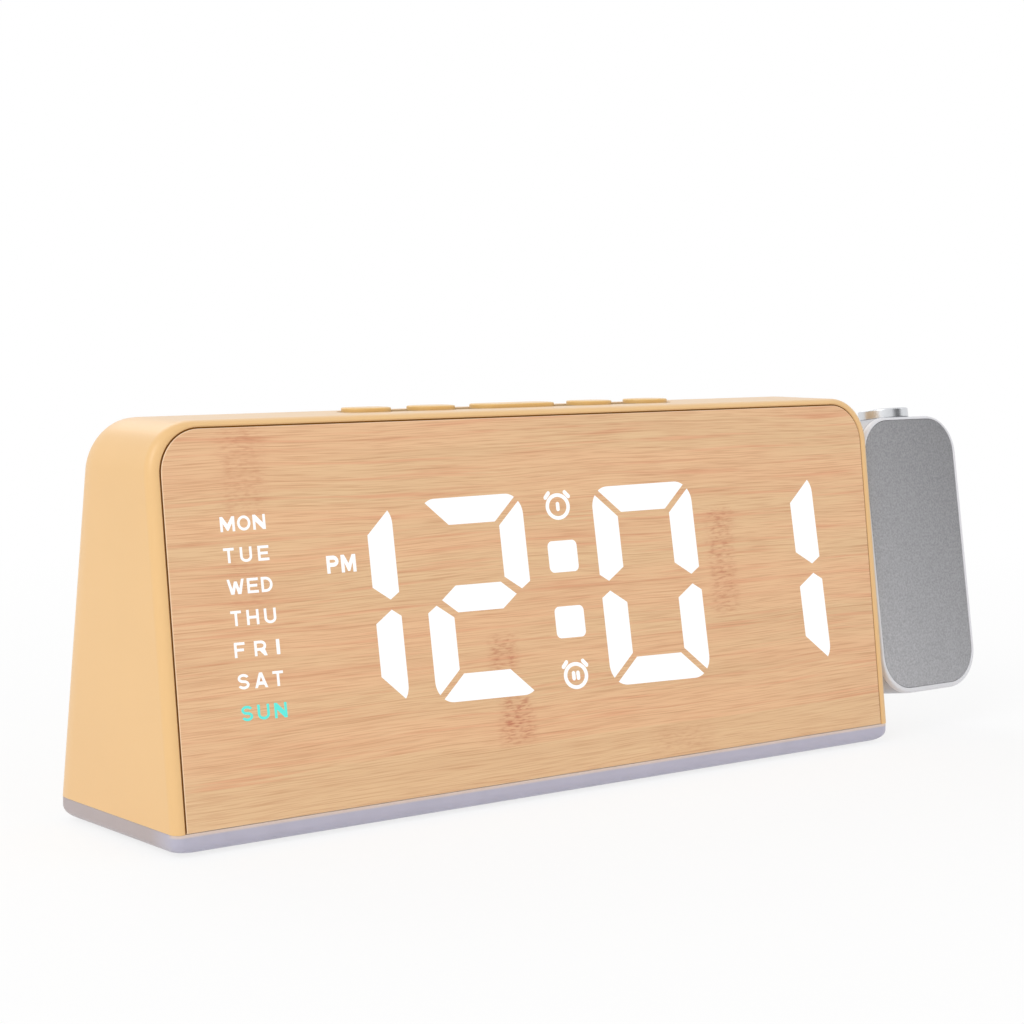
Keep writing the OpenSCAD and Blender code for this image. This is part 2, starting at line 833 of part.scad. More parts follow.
// Flat cable from the key board down to the back of the display board
module key_ribbon()
    color("#d9d9dd")
    translate([body_x + 28, 0, 0])
        rotate([90, 0, 90])
            linear_extrude(ribbon_w)
                polygon([
                    [key_y, key_board_z],
                    [key_y + ribbon_t, key_board_z],
                    [display_back_y(key_board_z - 14) + ribbon_t, key_board_z - 14],
                    [display_back_y(key_board_z - 22) + ribbon_t, key_board_z - 22],
                    [display_back_y(key_board_z - 22), key_board_z - 22],
                    [display_back_y(key_board_z - 14), key_board_z - 14]
                ]);

// ---- Base ----

// Block with upright rounded corners whose four sides curve in towards the table
module tapered_block()
    intersection() {
        translate([body_x, 0, base_z])
            linear_extrude(base_h)
                round_rect(body_w, body_d, base_corner_r);
        translate([body_x, body_d, base_z])
            rotate([90, 0, 0])
                linear_extrude(2 * body_d)
                    taper_view(body_w);
        translate([body_x - body_w, 0, base_z])
            rotate([90, 0, 90])
                linear_extrude(2 * body_w)
                    taper_view(body_d);
    }

module taper_view(w)
    polygon(concat(
        [for (a = [0:22.5:90]) taper_point(w, 1, a)],
        [[w / 2, base_h], [-w / 2, base_h]],
        [for (a = [90:-22.5:0]) taper_point(w, -1, a)]
    ));

// Point of the curved lower edge on one side, a quarter turn long
function taper_point(w, side, a) =
    [side * (w / 2 - base_taper * (1 - sin(a))), base_h * 0.6 * (1 - cos(a))];

module night_light_base()
    color("#c9c8d8", 0.85)
    difference() {
        union() {
            tapered_block();
            for (side = [-1, 1])
                translate([body_x + side * (body_w / 2 - wall - slip - tray_lip[0] / 2) - tray_lip[0] / 2,
                        -tray_lip[1] / 2, shell_z])
                    cube(tray_lip);
        }
        translate([body_x - body_w / 2 + tray_wall, -body_d / 2 + tray_wall, base_z - eps])
            cube([body_w - 2 * tray_wall, body_d - 2 * tray_wall, tray_low_h + eps]);
        translate([body_x - tray_hole[0] / 2, -tray_hole[1] / 2, base_z])
            cube([tray_hole[0], tray_hole[1], base_h + eps]);
        for (y = strip_y)
            translate([body_x - strip_groove[0] / 2, y - strip_groove[1] / 2, shell_z - strip_groove[2]])
                cube([strip_groove[0], strip_groove[1], strip_groove[2] + eps]);
        for (p = base_screw_at)
            translate([body_x + p[0], p[1], base_z])
                cylinder(r = pin_r + near, h = base_h + eps, $fn = round_fn);
    }

module night_light_strips()
    color("#f4f4f0")
    for (y = strip_y)
        translate([body_x - strip_groove[0] / 2 + slip, y - strip_groove[1] / 2 + slip, shell_z - strip_t])
            cube([strip_groove[0] - 2 * slip, strip_groove[1] - 2 * slip, strip_t]);

module night_light_leds()
    color("#fff0c0")
    for (y = strip_y)
        for (i = [0:strip_led_count - 1])
            translate([body_x + (i - (strip_led_count - 1) / 2) * strip_groove[0] / strip_led_count
                    - strip_led[0] / 2, y - strip_led[1] / 2, shell_z - strip_t - strip_led[2]])
                cube(strip_led);

module base_plate()
    color("#e8d9b8")
    difference() {
        union() {
            translate([body_x - body_w / 2 + tray_wall + slip, -body_d / 2 + tray_wall + slip, plate_z])
                cube([body_w - 2 * tray_wall - 2 * slip, body_d - 2 * tray_wall - 2 * slip, plate_t]);
            for (p = main_post_at)
                translate([body_x + p[0], p[1], plate_z + plate_t / 2])
                    cylinder(r = main_post_r, h = main_board_z - plate_z - plate_t / 2, $fn = round_fn);
        }
        for (p = base_screw_at) {
            translate([body_x + p[0], p[1], plate_z - eps])
                cylinder(r = pin_r + near, h = plate_t + 2 * eps, $fn = round_fn);
            translate([body_x + p[0], p[1], plate_z - eps])
                cylinder(r = pin_head_r + slip, h = pin_head_t + eps, $fn = round_fn);
        }
        for (p = main_post_at)
            translate([body_x + p[0], p[1], plate_z + plate_t])
                cylinder(r = pin_r, h = main_board_z, $fn = round_fn);
    }

module base_screws()
    color(steel_colour)
    for (p = base_screw_at)
        translate([body_x + p[0], p[1], plate_z + pin_head_t])
            pin_screw(base_h + 2);

module rubber_feet()
    color("#3b3b3d")
    for (p = foot_at)
        translate([body_x + p[0], p[1], 0])
            cylinder(r = foot_r, h = plate_z, $fn = round_fn);

// ---- Pivot of the projector ----

module lead_socket()
    color("#efe9da")
    socket_block(0, 0);

module spring_washer()
    color(steel_colour)
    difference() {
        pivot_round(washer_r, -bearing_l - spring_t, -bearing_l);
        pivot_round(hub_r + run, -bearing_l - spring_t - eps, -bearing_l + eps);
    }

module pivot_hub()
    color("#d4d6d8")
    difference() {
        union() {
            pivot_round(hub_r, hub_end, hub_in + hub_plate[0]);
            on_projector(hub_in, -hub_plate[1] / 2, -hub_plate[2] / 2)
                cube(hub_plate);
        }
        pivot_round(hub_bore_r, hub_end - eps, hub_in + hub_plate[0] + eps);
        difference() {
            pivot_round(hub_r + eps, -bearing_l - near - spring_t - clip_t, -bearing_l - near - spring_t);
            pivot_round(hub_r - groove_depth, hub_end - eps, 0);
        }
        for (u = [-hub_screw_u, hub_screw_u])
            on_projector(hub_in - eps, u)
                rotate([0, 90, 0])
                    cylinder(r = pin_r + near, h = hub_plate[0] + 2 * eps, $fn = round_fn);
    }

module hub_screws()
    color(steel_colour)
    for (u = [-hub_screw_u, hub_screw_u])
        on_projector(hub_in + hub_plate[0], u)
            rotate([0, -90, 0])
                pin_screw(hub_plate[0] + hub_pad_t + tub_wall - 0.5);

module hub_spacer()
    color("#f2f2f2")
    difference() {
        pivot_round(washer_r, near, projector_gap);
        pivot_round(hub_r + run, 0, projector_gap + eps);
    }

// Clip in the hub's groove, open on one side
module retaining_clip()
    color(steel_colour)
    difference() {
        pivot_round(washer_r, -bearing_l - near - spring_t - clip_t, -bearing_l - near - spring_t);
        pivot_round(hub_r - groove_depth + run, hub_end, 0);
        on_projector(hub_end, -(hub_r - groove_depth) * 0.8, -washer_r - eps)
            cube([-hub_end, 2 * (hub_r - groove_depth) * 0.8, washer_r + eps]);
    }

module projector_lead()
    color("#303034")
    pivot_round(lead_r, -body_w / 2 + board_right + near, hub_in + hub_plate[0] + slip);

// ---- Projector ----

// Rounded slab of the projector between two depths, moved in from its outline
module slab(inset, n0, n1)
    on_projector(x = lens_x, n = n0)
        linear_extrude(n1 - n0)
            round_rect(projector_w - 2 * inset, projector_h - 2 * inset, projector_r - inset);

// Places of the four bosses that hold the bezel
module at_bosses(n)
    for (x = [-boss_dx, boss_dx])
        for (u = [-boss_du, boss_du])
            on_projector(lens_x + x, u, n)
                children();

module projector_bezel()
    color("#f2f2f3")
    difference() {
        union() {
            difference() {
                slab(0, parting_n, half_d);
                slab(tub_wall, parting_n - eps, half_d - face_t - bezel_web);
            }
            // lip that enters the tub
            difference() {
                slab(tub_wall + near, parting_n - 1.2, half_d - face_t - bezel_web / 2);
                slab(tub_wall + near + 0.8, parting_n - 1.2 - eps, half_d - face_t - bezel_web);
                pivot_round(hub_r + 1.5, -eps, hub_in + hub_plate[0]);
                optic_round(neck_r + 1.5, tub_top - neck_l, tub_top + eps);
                on_projector(projector_gap, -hub_plate[1] / 2 - slip, parting_n - 1.2 - eps)
                    cube([hub_in + hub_plate[0], hub_plate[1] + 2 * slip, 1.2 + eps]);
            }
            at_bosses(-half_d + tub_wall + 1.6)
                cylinder(r = bezel_boss_r, h = projector_d - tub_wall - 1.6 - face_t - bezel_web / 2,
                    $fn = round_fn);
        }
        slab(rim_face, half_d - face_t, half_d + eps);
        at_bosses(-half_d)
            cylinder(r = pin_r, h = projector_d - 6, $fn = round_fn);
    }

module projector_face()
    color("#97989b")
    slab(rim_face + near / 2, half_d - face_t, half_d);

module projector_tub()
    color("#dcdde0")
    difference() {
        union() {
            difference() {
                slab(0, -half_d, parting_n);
                slab(tub_wall, -half_d + tub_wall, parting_n + eps);
            }
            // pad for the hub's plate
            on_projector(projector_gap + tub_wall / 2, -hub_plate[1] / 2, -half_d + tub_wall / 2)
                cube([tub_wall / 2 + hub_pad_t, hub_plate[1], parting_n + half_d - tub_wall / 2]);
            // seats of the bosses, the optic tube and the board
            at_bosses(-half_d + tub_wall / 2)
                cylinder(r = bezel_boss_r, h = tub_wall / 2 + 1.6, $fn = round_fn);
            on_projector(lens_x - 3, opt_low + 2, -half_d + tub_wall / 2)
                cube([6, opt_high - opt_low - 4, half_d - tub_wall / 2 - opt_r * 0.7]);
            on_projector(lens_x - 8, proj_board_u + 2, -half_d + tub_wall / 2)
                cube([16, 4, tub_wall / 2 + 0.3]);
            on_projector(lens_x - 8, proj_board_u + 20, -half_d + tub_wall / 2)
                cube([16, 4, tub_wall / 2 + 0.3]);
        }
        optic_round(opt_r + run, opt_low - eps, opt_high + eps);
        optic_round(neck_r + run, tub_top - tub_wall - eps, tub_top + eps);
        pivot_round(hub_r, 0, hub_in + eps);
        for (u = [-hub_screw_u, hub_screw_u])
            on_projector(projector_gap + 0.4, u)
                rotate([0, 90, 0])
                    cylinder(r = pin_r, h = hub_in, $fn = round_fn);
        at_bosses(-half_d - eps)
            cylinder(r = pin_r + near, h = projector_d, $fn = round_fn);
        at_bosses(-half_d - eps)
            cylinder(r = pin_head_r + slip, h = pin_head_t + eps, $fn = round_fn);
    }

module projector_screws()
    color(steel_colour)
    at_bosses(-half_d + pin_head_t)
        pin_screw(6);

module projector_board()
    color(board_colour)
    on_projector(hub_in + hub_plate[0] + slip, proj_board_u, proj_board_n)
        cube(proj_board);

module lead_header()
    color("#efe9da")
    on_projector(hub_in + hub_plate[0] + slip, -header_size[1] / 2 - 1, proj_board_n + proj_board[2])
        cube([header_size[0], header_size[1], half_d - tub_wall - proj_board[2] + lead_r]);

module lamp_board()
    color(board_colour)
    on_projector(lens_x - opt_r, opt_low - lamp_board_t, -opt_r)
        cube([2 * opt_r, lamp_board_t, 2 * opt_r]);

module projector_lamp()
    color("#ffe9a0")
    on_projector(lens_x - lamp_size[0] / 2, opt_low, -lamp_size[2] / 2)
        cube(lamp_size);

module optic_tube()
    color("#2c2c2f")
    difference() {
        optic_round(opt_r, opt_low, opt_high);
        optic_round(opt_in_r, opt_low - eps, opt_high + eps);
    }

// Plano-convex lens that gathers the lamp's light
module condenser_lens()
    color("#dfeaf0", 0.5)
    intersection() {
        optic_round(opt_in_r - run, condenser_u, condenser_u + condenser_t);
        on_projector(lens_x, condenser_u + condenser_t - condenser_ball)
            sphere(r = condenser_ball, $fn = round_fn);
    }

module time_film()
    color("#3c4a55")
    on_projector(lens_x - film_a / 2, film_u, -film_a / 2)
        cube([film_a, film_t, film_a]);

module focus_ring()
    color("#d7d9dc")
    difference() {
        union() {
            optic_round(focus_r, tub_top + near, tub_top + focus_h - 0.3);
            optic_round(focus_r - 0.3, tub_top + focus_h - 0.5, tub_top + focus_h);
            optic_round(neck_r, tub_top - neck_l, tub_top + near + 0.2);
        }
        optic_round(cell_out_r + run, tub_top - neck_l - eps, tub_top + focus_h + eps);
    }

module lens_cell()
    color("#1e1e20")
    difference() {
        optic_round(cell_out_r, lens_cell_u, lens_cell_u + lens_cell_l);
        optic_round(cell_in_r, lens_cell_u - eps, lens_cell_u + lens_cell_l + eps);
    }

// Biconvex lens that throws the picture
module projection_lens()
    color("#dfeaf0", 0.5)
    intersection() {
        optic_round(cell_in_r - run, lens_cell_u, lens_cell_u + lens_cell_l);
        on_projector(lens_x, lens_cell_u + lens_cell_l / 2 + lens_t / 2 - lens_ball)
            sphere(r = lens_ball, $fn = round_fn);
        on_projector(lens_x, lens_cell_u + lens_cell_l / 2 - lens_t / 2 + lens_ball)
            sphere(r = lens_ball, $fn = round_fn);
    }

main_shell();
veneer_face();
panel_carrier();
diffuser_sheet();
light_mask();
display_board();
display_leds();
display_screws();
key_board();
key_switches();
key_board_screws();
rear_cover();
rear_screws();
speaker();
battery_cup();
battery_contacts();
coin_cell();
battery_door();
main_board();
main_board_screws();
control_chip();
power_jack();
usb_port();
display_ribbon();
key_ribbon();
night_light_base();
night_light_strips();
night_light_leds();
base_plate();
base_screws();
rubber_feet();
snooze_key();
mode_key();
down_key();
up_key();
alarm_key();
lead_socket();
spring_washer();
pivot_hub();
hub_screws();
hub_spacer();
retaining_clip();
projector_lead();
projector_bezel();
projector_face();
projector_tub();
projector_screws();
projector_board();
lead_header();
lamp_board();
projector_lamp();
optic_tube();
condenser_lens();
time_film();
focus_ring();
lens_cell();
projection_lens();
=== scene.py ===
"""Projection alarm clock: its visible pieces, their finishes and a plain studio, built round the packed frame.

Lengths are in metres and angles in radians. On a leaning face, x runs across it, s up it and n out of it.
A profile is a list of (inset, height) pairs: inset is measured inwards from an outline, height along its axis.
"""

import math
from functools import partial

import bmesh
import bpy
import numpy as np
from bpy.props import FloatProperty, FloatVectorProperty, PointerProperty
from mathutils import Matrix, Vector


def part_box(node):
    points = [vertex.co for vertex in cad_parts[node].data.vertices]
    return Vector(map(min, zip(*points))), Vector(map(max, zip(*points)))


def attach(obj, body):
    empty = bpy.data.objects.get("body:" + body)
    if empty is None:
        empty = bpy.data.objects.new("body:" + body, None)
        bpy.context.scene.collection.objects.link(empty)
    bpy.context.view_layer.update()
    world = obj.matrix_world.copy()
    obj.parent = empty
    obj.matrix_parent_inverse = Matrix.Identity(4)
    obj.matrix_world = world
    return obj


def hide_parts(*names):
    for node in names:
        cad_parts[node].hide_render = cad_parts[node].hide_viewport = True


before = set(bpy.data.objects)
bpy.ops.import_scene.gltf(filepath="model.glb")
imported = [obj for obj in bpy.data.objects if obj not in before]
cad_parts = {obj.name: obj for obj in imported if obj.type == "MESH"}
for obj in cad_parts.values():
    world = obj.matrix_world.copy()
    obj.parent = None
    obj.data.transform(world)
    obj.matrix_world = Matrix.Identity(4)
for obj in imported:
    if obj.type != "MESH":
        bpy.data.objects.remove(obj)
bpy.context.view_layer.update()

bl_info = {
    "name": "Projection alarm clock",
    "version": (1, 0, 0),
    "blender": (4, 5, 0),
    "location": "View3D > Sidebar > Clock",
    "description": "Builds a projection alarm clock with a bamboo front round its frame",
    "category": "Add Mesh",
}

MM = 0.001
ARC_STEPS = 14
FILLET_STEPS = 6
TURN_STEPS = 96
SUPPORT = 0.1  # length of the straight beside a rounding, as a share of the rounding
SHARP = math.radians(32)


def linear(hex_colour):
    """sRGB hex colour as linear red, green, blue and an alpha of 1."""
    srgb = np.array([int(hex_colour[i : i + 2], 16) for i in (1, 3, 5)]) / 255
    light = np.where(srgb <= 0.04045, srgb / 12.92, ((srgb + 0.055) / 1.055) ** 2.4)
    return (*light.tolist(), 1.0)


# ---- Sizes and colours that a user may change ----


def length(name, mm, description):
    """A length, given here in millimetres and kept in metres."""
    return FloatProperty(name=name, description=description, default=mm * MM, unit="LENGTH", precision=5)


def angle(name, degrees, description):
    """An angle, given here in degrees and kept in radians."""
    return FloatProperty(name=name, description=description, default=math.radians(degrees), subtype="ANGLE")


def tint(name, hex_colour, description):
    """A colour, given here as sRGB hex and kept linear."""
    colour = linear(hex_colour)
    return FloatVectorProperty(
        name=name, description=description, default=colour, size=4, min=0, max=1, subtype="COLOR"
    )


class ClockBodySizes(bpy.types.PropertyGroup):
    """Sizes of the leaning case and its base."""

    width: length("Width", 190, "Width of the case without the projector")
    depth: length("Depth", 46, "Depth of the case where it meets its base")
    height: length("Height", 79.6, "Height of the case above the underside of its base")
    front_lean: angle("Front lean", 6.8, "Lean of the front back from upright")
    back_lean: angle("Rear lean", 10.3, "Lean of the rear forward from upright")
    corner: length("Corner radius", 10, "Radius of the two upper corners")
    wall: length("Wall", 2, "Thickness of the shell")
    rim: length("Side rim", 2.4, "Width of the rim beside the panel and the cover")
    rim_top: length("Top rim", 1.2, "Height of the rim over the panel and the cover")
    edge: length("Front rounding", 1.85, "Width and depth of the rounding of the shell's front edge")
    edge_top: length("Front rounding at the top", 0.85, "Height of that rounding at the top")
    rear_edge: length("Rear rounding", 1.0, "Width of the rounding of the shell's rear edge")
    rear_edge_top: length("Rear rounding at the top", 0.45, "Height of that rounding at the top")
    rear_edge_depth: length("Rear rounding depth", 4.5, "Depth of that rounding")
    veneer: length("Veneer", 0.6, "Thickness of the bamboo veneer")
    carrier: length("Carrier", 1.2, "Thickness of the plate behind the veneer")
    gap: length("Panel gap", 0.3, "Gap round the front panel and the rear cover")
    ledge: length("Ledge", 2.2, "Width of the ledge that the panel rests on")
    ledge_t: length("Ledge thickness", 1.5, "Thickness of that ledge")
    cover: length("Cover", 2, "Thickness of the rear cover")
    base: length("Base height", 4, "Height of the translucent base")
    taper: length("Base taper", 2.4, "How far the base narrows towards the table")
    base_corner: length("Base corner", 2.1, "Radius of the base's upright corners")
    base_wall: length("Base wall", 6, "Width of the base's rim round its pocket")
    base_pocket: length("Base pocket", 2.4, "Depth of the pocket under the base")
    foot_proud: length("Foot", 0.6, "How far the rubber feet stand out")
    foot_radius: length("Foot radius", 5, "Radius of a rubber foot")


class ClockKeySizes(bpy.types.PropertyGroup):
    """Sizes of the five keys on top."""

    wide: length("Middle key", 21, "Width of the middle key")
    narrow: length("Other keys", 10.8, "Width of each of the other keys")
    depth: length("Depth", 7, "Depth of every key")
    gap: length("Gap", 5.4, "Gap between neighbouring keys")
    back: length("Setback", 0.8, "How far the row stands behind the middle of the top")
    # the bed looks dark only from its lining of painted shade
    bed: length("Bed", 0.35, "Depth of the dark bed that the keys stand in")
    proud: length("Height", 0.9, "How far the keys stand out of the top")
    edge: length("Edge radius", 0.3, "Rounding of a key's upper edge")
    crown: length("Crown", 0.06, "Height of a key's crown over that rounding")
    slip: length("Play", 0.2, "Play of a key in its opening")
    lip: length("Lip", 1, "Width of the lip under the shell")
    lip_t: length("Lip thickness", 1.1, "Thickness of that lip")


class ClockProjectorSizes(bpy.types.PropertyGroup):
    """Sizes of the turning projector."""

    width: length("Width", 32.6, "Width of the projector")
    height: length("Height", 65.7, "Height of the projector")
    depth: length("Depth", 15, "Thickness of the projector")
    corner: length("Corner radius", 9.3, "Corner radius of its face")
    gap: length("Gap", 1.1, "Gap between projector and case")
    lean: angle("Lean", 8.4, "Lean of the projector back from upright")
    pivot_h: length("Pivot height", 41.1, "Pivot above the underside of the base")
    pivot_back: length("Pivot depth", 10.1, "Pivot behind the front face")
    hub: length("Hub radius", 4.4, "Radius of the hollow pivot hub")
    bezel: length("Bezel depth", 1.5, "Depth of the bezel round the face")
    rim: length("Rim", 1, "Width of the rim beside the face")
    rise: length("Face rise", 0.25, "How far the face stands above the middle of the rim")
    face: length("Face", 1, "Thickness of the face plate")
    wall: length("Wall", 1.5, "Thickness of the projector's case")
    back_edge: length("Rear edge", 1.8, "Rounding of the projector's rear edge")
    ring_radius: length("Ring radius", 6, "Radius of the focus ring")
    ring_height: length("Ring height", 2.4, "Height of the focus ring")
    cell_radius: length("Cell radius", 3.7, "Radius of the lens cell")
    lens_radius: length("Lens radius", 3, "Radius of the projection lens")


class ClockFigureSizes(bpy.types.PropertyGroup):
    """Sizes of the lit figures, in the display's own layout."""

    digit_w: length("Digit width", 27.46, "Width of a digit")
    digit_h: length("Digit height", 42.49, "Height of a digit")
    upright: length("Upright bar", 6.61, "Width of a digit's upright bars")
    level: length("Level bar", 5.7, "Height of the top and bottom bars")
    middle: length("Middle bar", 5.62, "Height of the middle bar")
    bar_gap: length("Bar gap", 1.36, "Gap between the mitred ends of two bars")
    bar_round: length("Bar rounding", 4.5, "Rounding of a digit's outer corners")
    cap_height: length("Letter height", 3.09, "Height of the weekday letters")
    stem: length("Letter stem", 0.62, "Width of a weekday letter's upright strokes")
    proud: length("Relief", 0.03, "How far the lit windows stand out of the veneer")


class ClockFinishes(bpy.types.PropertyGroup):
    """Colours of the clock's main finishes."""

    shell: tint("Shell", "#F1C589", "Warm beige of the moulded shell")
    keys: tint("Keys", "#EFC57E", "Deeper yellow of the keys")
    bamboo: tint("Bamboo", "#F2C497", "Ground colour of the veneer")
    bamboo_rose: tint("Rose bamboo", "#E9A880", "Pinkish strips of the veneer")
    bamboo_green: tint("Green bamboo", "#EDC698", "Greenish strips of the veneer")
    fibre: tint("Fibre", "#BC744A", "Brown fibres of the veneer")
    node_red: tint("Growth ring", "#C0694A", "Reddish fibres where the cane has its rings")
    base: tint("Base", "#BEBCCD", "Lilac grey of the translucent base")
    face: tint("Projector face", "#A5A5A8", "Grey of the blasted projector face")
    bezel: tint("Projector rim", "#E4E4E8", "Pearl white of the projector's rim")
    tub: tint("Projector case", "#C4C5CA", "Light grey of the projector's case")
    figures: tint("Figures", "#FFFFFF", "Light of the figures")
    today: tint("Lit weekday", "#60EBDE", "Light of the weekday that is shown")


GROUPS = {
    "clock_body": ClockBodySizes,
    "clock_keys": ClockKeySizes,
    "clock_projector": ClockProjectorSizes,
    "clock_figures": ClockFigureSizes,
    "clock_finishes": ClockFinishes,
}


def chosen(group):
    """The values of one group of sizes or colours in the open scene."""
    return getattr(bpy.context.scene, "clock_" + group)


# ---- Places: functions that turn x, y and a height of a shape's own into points of the object ----


def middle_x():
    """Middle of the case across the front; the whole object is centred on x = 0."""
    p = chosen("projector")
    return -(p.gap + p.width) / 2


def shell_z():
    """Height of the shell's foot, on top of the base."""
    b = chosen("body")
    return b.foot_proud + b.base


def top_z():
    """Height of the shell's top."""
    b = chosen("body")
    return b.foot_proud + b.height


def leaning(origin, lean, facing, x, s, n):
    """Points of a leaning face, from its origin: facing x across, facing (s sin lean - n cos lean) back, and
    s cos lean + n sin lean up."""
    x, s, n = np.broadcast_arrays(x, s, n)
    back = s * math.sin(lean) - n * math.cos(lean)
    up = s * math.cos(lean) + n * math.sin(lean)
    return np.stack([facing * x, facing * back, up], -1) + origin


def on_face(facing, x, s, n):
    """The case's front (facing 1) or rear (facing -1, x to the right seen from behind), from its foot's middle."""
    b = chosen("body")
    lean = b.front_lean if facing > 0 else b.back_lean
    return leaning((middle_x(), -facing * b.depth / 2, shell_z()), lean, facing, x, s, n)


def inside_face(facing, x, up, depth):
    """Points a level depth inside the front (facing 1) or the rear (facing -1), at a height above the shell's
    foot: they lie facing (up tan lean + depth - half the case's depth) back from its middle."""
    b = chosen("body")
    lean = b.front_lean if facing > 0 else b.back_lean
    back = facing * (up * math.tan(lean) + depth - b.depth / 2)
    return np.stack(np.broadcast_arrays(middle_x() + x, back, shell_z() + up), -1)


on_front, on_rear = partial(on_face, 1), partial(on_face, -1)
behind_front, before_rear = partial(inside_face, 1), partial(inside_face, -1)


def on_projector(x, u, n):
    """Projector: x from the middle of its width, u up its length from the pivot, n out of its face."""
    b, p = chosen("body"), chosen("projector")
    pivot_z = b.foot_proud + p.pivot_h
    pivot_y = -b.depth / 2 + (pivot_z - shell_z()) * math.tan(b.front_lean) + p.pivot_back
    mid_x = middle_x() + b.width / 2 + p.gap + p.width / 2
    return leaning((mid_x, pivot_y, pivot_z), p.lean, 1, x, u, n)


def on_lens_axis(x, n, u):
    """Projector, for pieces turned about its lens axis: their height is u."""
    return on_projector(x, u, n)


def on_pivot_axis(u, n, x):
    """Projector, for pieces along its pivot: their height is x."""
    return on_projector(x, u, n)


def upright_at(x, y):
    """Place function of upright shapes about a point of the plan."""
    return lambda dx, dy, z: np.stack(np.broadcast_arrays(x + dx, y + dy, z), -1)


def level_at(x, z):
    """Place function of shapes that run straight back: width along x, height along z, length along y."""
    return lambda dx, dz, y: np.stack(np.broadcast_arrays(x + dx, y, z + dz), -1)


def shifted(place, x, s):
    """The same place function about another point of its face."""
    return lambda dx, ds, n: place(x + dx, s + ds, n)


def flipped(place, height):
    """The same place function upside down, its height 0 at this height."""
    return lambda x, y, n: place(x, -y, height - n)


# ---- Outlines: functions of the inset that give the x and y of a line of points ----


def round_rect(w, h, r, growth=-1.0):
    """Closed outline: four quarter circles of radius r + growth * inset, one after another, with a short straight
    at both ends of each. A growth of -1 keeps their centres where they are."""

    def outline(inset):
        a = np.linspace(0, math.pi / 2, ARC_STEPS + 1)
        a = np.concatenate([a[:1], a, a[-1:]]) + np.arange(4)[:, None] * math.pi / 2
        radius = max(r + growth * inset, 0)
        cx = np.array([[1], [-1], [-1], [1]]) * (w / 2 - inset - radius)
        cy = np.array([[1], [1], [-1], [-1]]) * (h / 2 - inset - radius)
        along = np.zeros_like(a)
        along[:, 0] = -np.minimum(np.array([h, w, h, w]) / 4 - r / 2, SUPPORT * r)
        along[:, -1] = -np.roll(along[:, 0], -1)
        x = cx + radius * np.cos(a) - along * np.sin(a)
        y = cy + radius * np.sin(a) + along * np.cos(a)
        return np.stack([x.ravel(), y.ravel()])

    return outline


def arch(w, low, high, r, closed=False, share=1.0):
    """Outline with square feet and two upper quarter circles of radius r - inset, from the left foot over the top
    to the right foot. Its top takes only a share of the inset, which makes the corners elliptical.
    A closed one has its foot line moved in with the inset; an open one keeps it."""

    def outline(inset):
        a = np.linspace(math.pi / 2, 0, ARC_STEPS + 1)
        x = w / 2 - r + max(r - inset, 0) * np.cos(a)
        y = high - r + max(r - share * inset, 0) * np.sin(a)
        side, over, foot = w / 2 - inset, SUPPORT * r, low + inset if closed else low
        x = np.concatenate([[w / 2 - r - over], x, [side, side]])
        y = np.concatenate([[high - share * inset], y, [high - r - over, foot]])
        return np.stack([np.concatenate([-x[::-1], x]), np.concatenate([y[::-1], y])])

    return outline


def pill(w, d):
    """Closed outline of a bar with half-round ends."""
    return round_rect(w, d, d / 2)


def circle(r, steps=TURN_STEPS):
    """Closed outline of a circle whose radius is r - inset."""
    a = np.linspace(0, 2 * math.pi, steps, endpoint=False)
    return lambda inset: (r - inset) * np.stack([np.cos(a), np.sin(a)])


def lugged(r, reach, half_w, along):
    """Closed outline of a circle joined with a centred bar, turned by an angle: its polar radius is the larger of r
    and the bar's own, min(reach / |cos|, half_w / |sin|)."""
    bend = [math.atan2(half_w, reach), math.asin(half_w / r)]
    key = np.array([s * b + h * math.pi for h in (0, 1) for s in (-1, 1) for b in bend])
    a = np.unique(np.concatenate([np.linspace(0, 2 * math.pi, 65)[:-1], key % (2 * math.pi)]))
    with np.errstate(divide="ignore"):
        bar = np.minimum(reach / np.abs(np.cos(a)), half_w / np.abs(np.sin(a)))
    return lambda inset: (np.maximum(r, bar) - inset) * np.stack([np.cos(a + along), np.sin(a + along)])


def circle_like(outline, r):
    """Circle of radius r - inset whose points lie at the same angles as another outline's."""
    points = outline(0)
    return lambda inset: (r - inset) * points / np.hypot(*points)


def polygon(points):
    """Closed outline through fixed points, which does not move with the inset."""
    fixed = np.array(points, float).T
    return lambda inset: fixed


# ---- Profiles ----


def fillet(start, corner, end, steps=FILLET_STEPS):
    """Rounding of a profile's corner: corner + (start - corner)(1 - sin a) + (end - corner)(1 - cos a) for a from 0
    to 90 degrees, with one more point on each straight beside it, so that the flats stay flat when shaded."""
    start, corner, end = (np.array(p, float) for p in (start, corner, end))
    a = np.linspace(0, math.pi / 2, steps + 1)[:, None]
    curve = corner + (start - corner) * (1 - np.sin(a)) + (end - corner) * (1 - np.cos(a))
    return [start + SUPPORT * (start - corner), *curve, end + SUPPORT * (end - corner)]


def eased_plate(low, high, edge):
    """Profile of a plate whose upper edge is rounded and whose lower edge is square."""
    return [(0, low), *fillet((0, high - edge), (0, high), (edge, high), 4)]


def flared_cut(low, high, flare):
    """Profile of a cutter that leaves a small chamfer where it comes out at height high."""
    return [(0, low), (0, high - flare), (-flare - MM, high + MM)]


def carry(outline, profile, place):
    """One ring of points for each profile point: the outline moved in by its inset and placed at its height."""
    return np.stack([place(*outline(inset), height) for inset, height in profile])


def turned(profile, place, steps=TURN_STEPS):
    """Rings of a profile of (radius, height) pairs turned about its axis: (r cos a, r sin a, h)."""
    a = np.linspace(0, 2 * math.pi, steps, endpoint=False)
    r, h = np.array(profile, float).T[:, :, None]
    return place(r * np.cos(a), r * np.sin(a), h)


# ---- Meshes ----


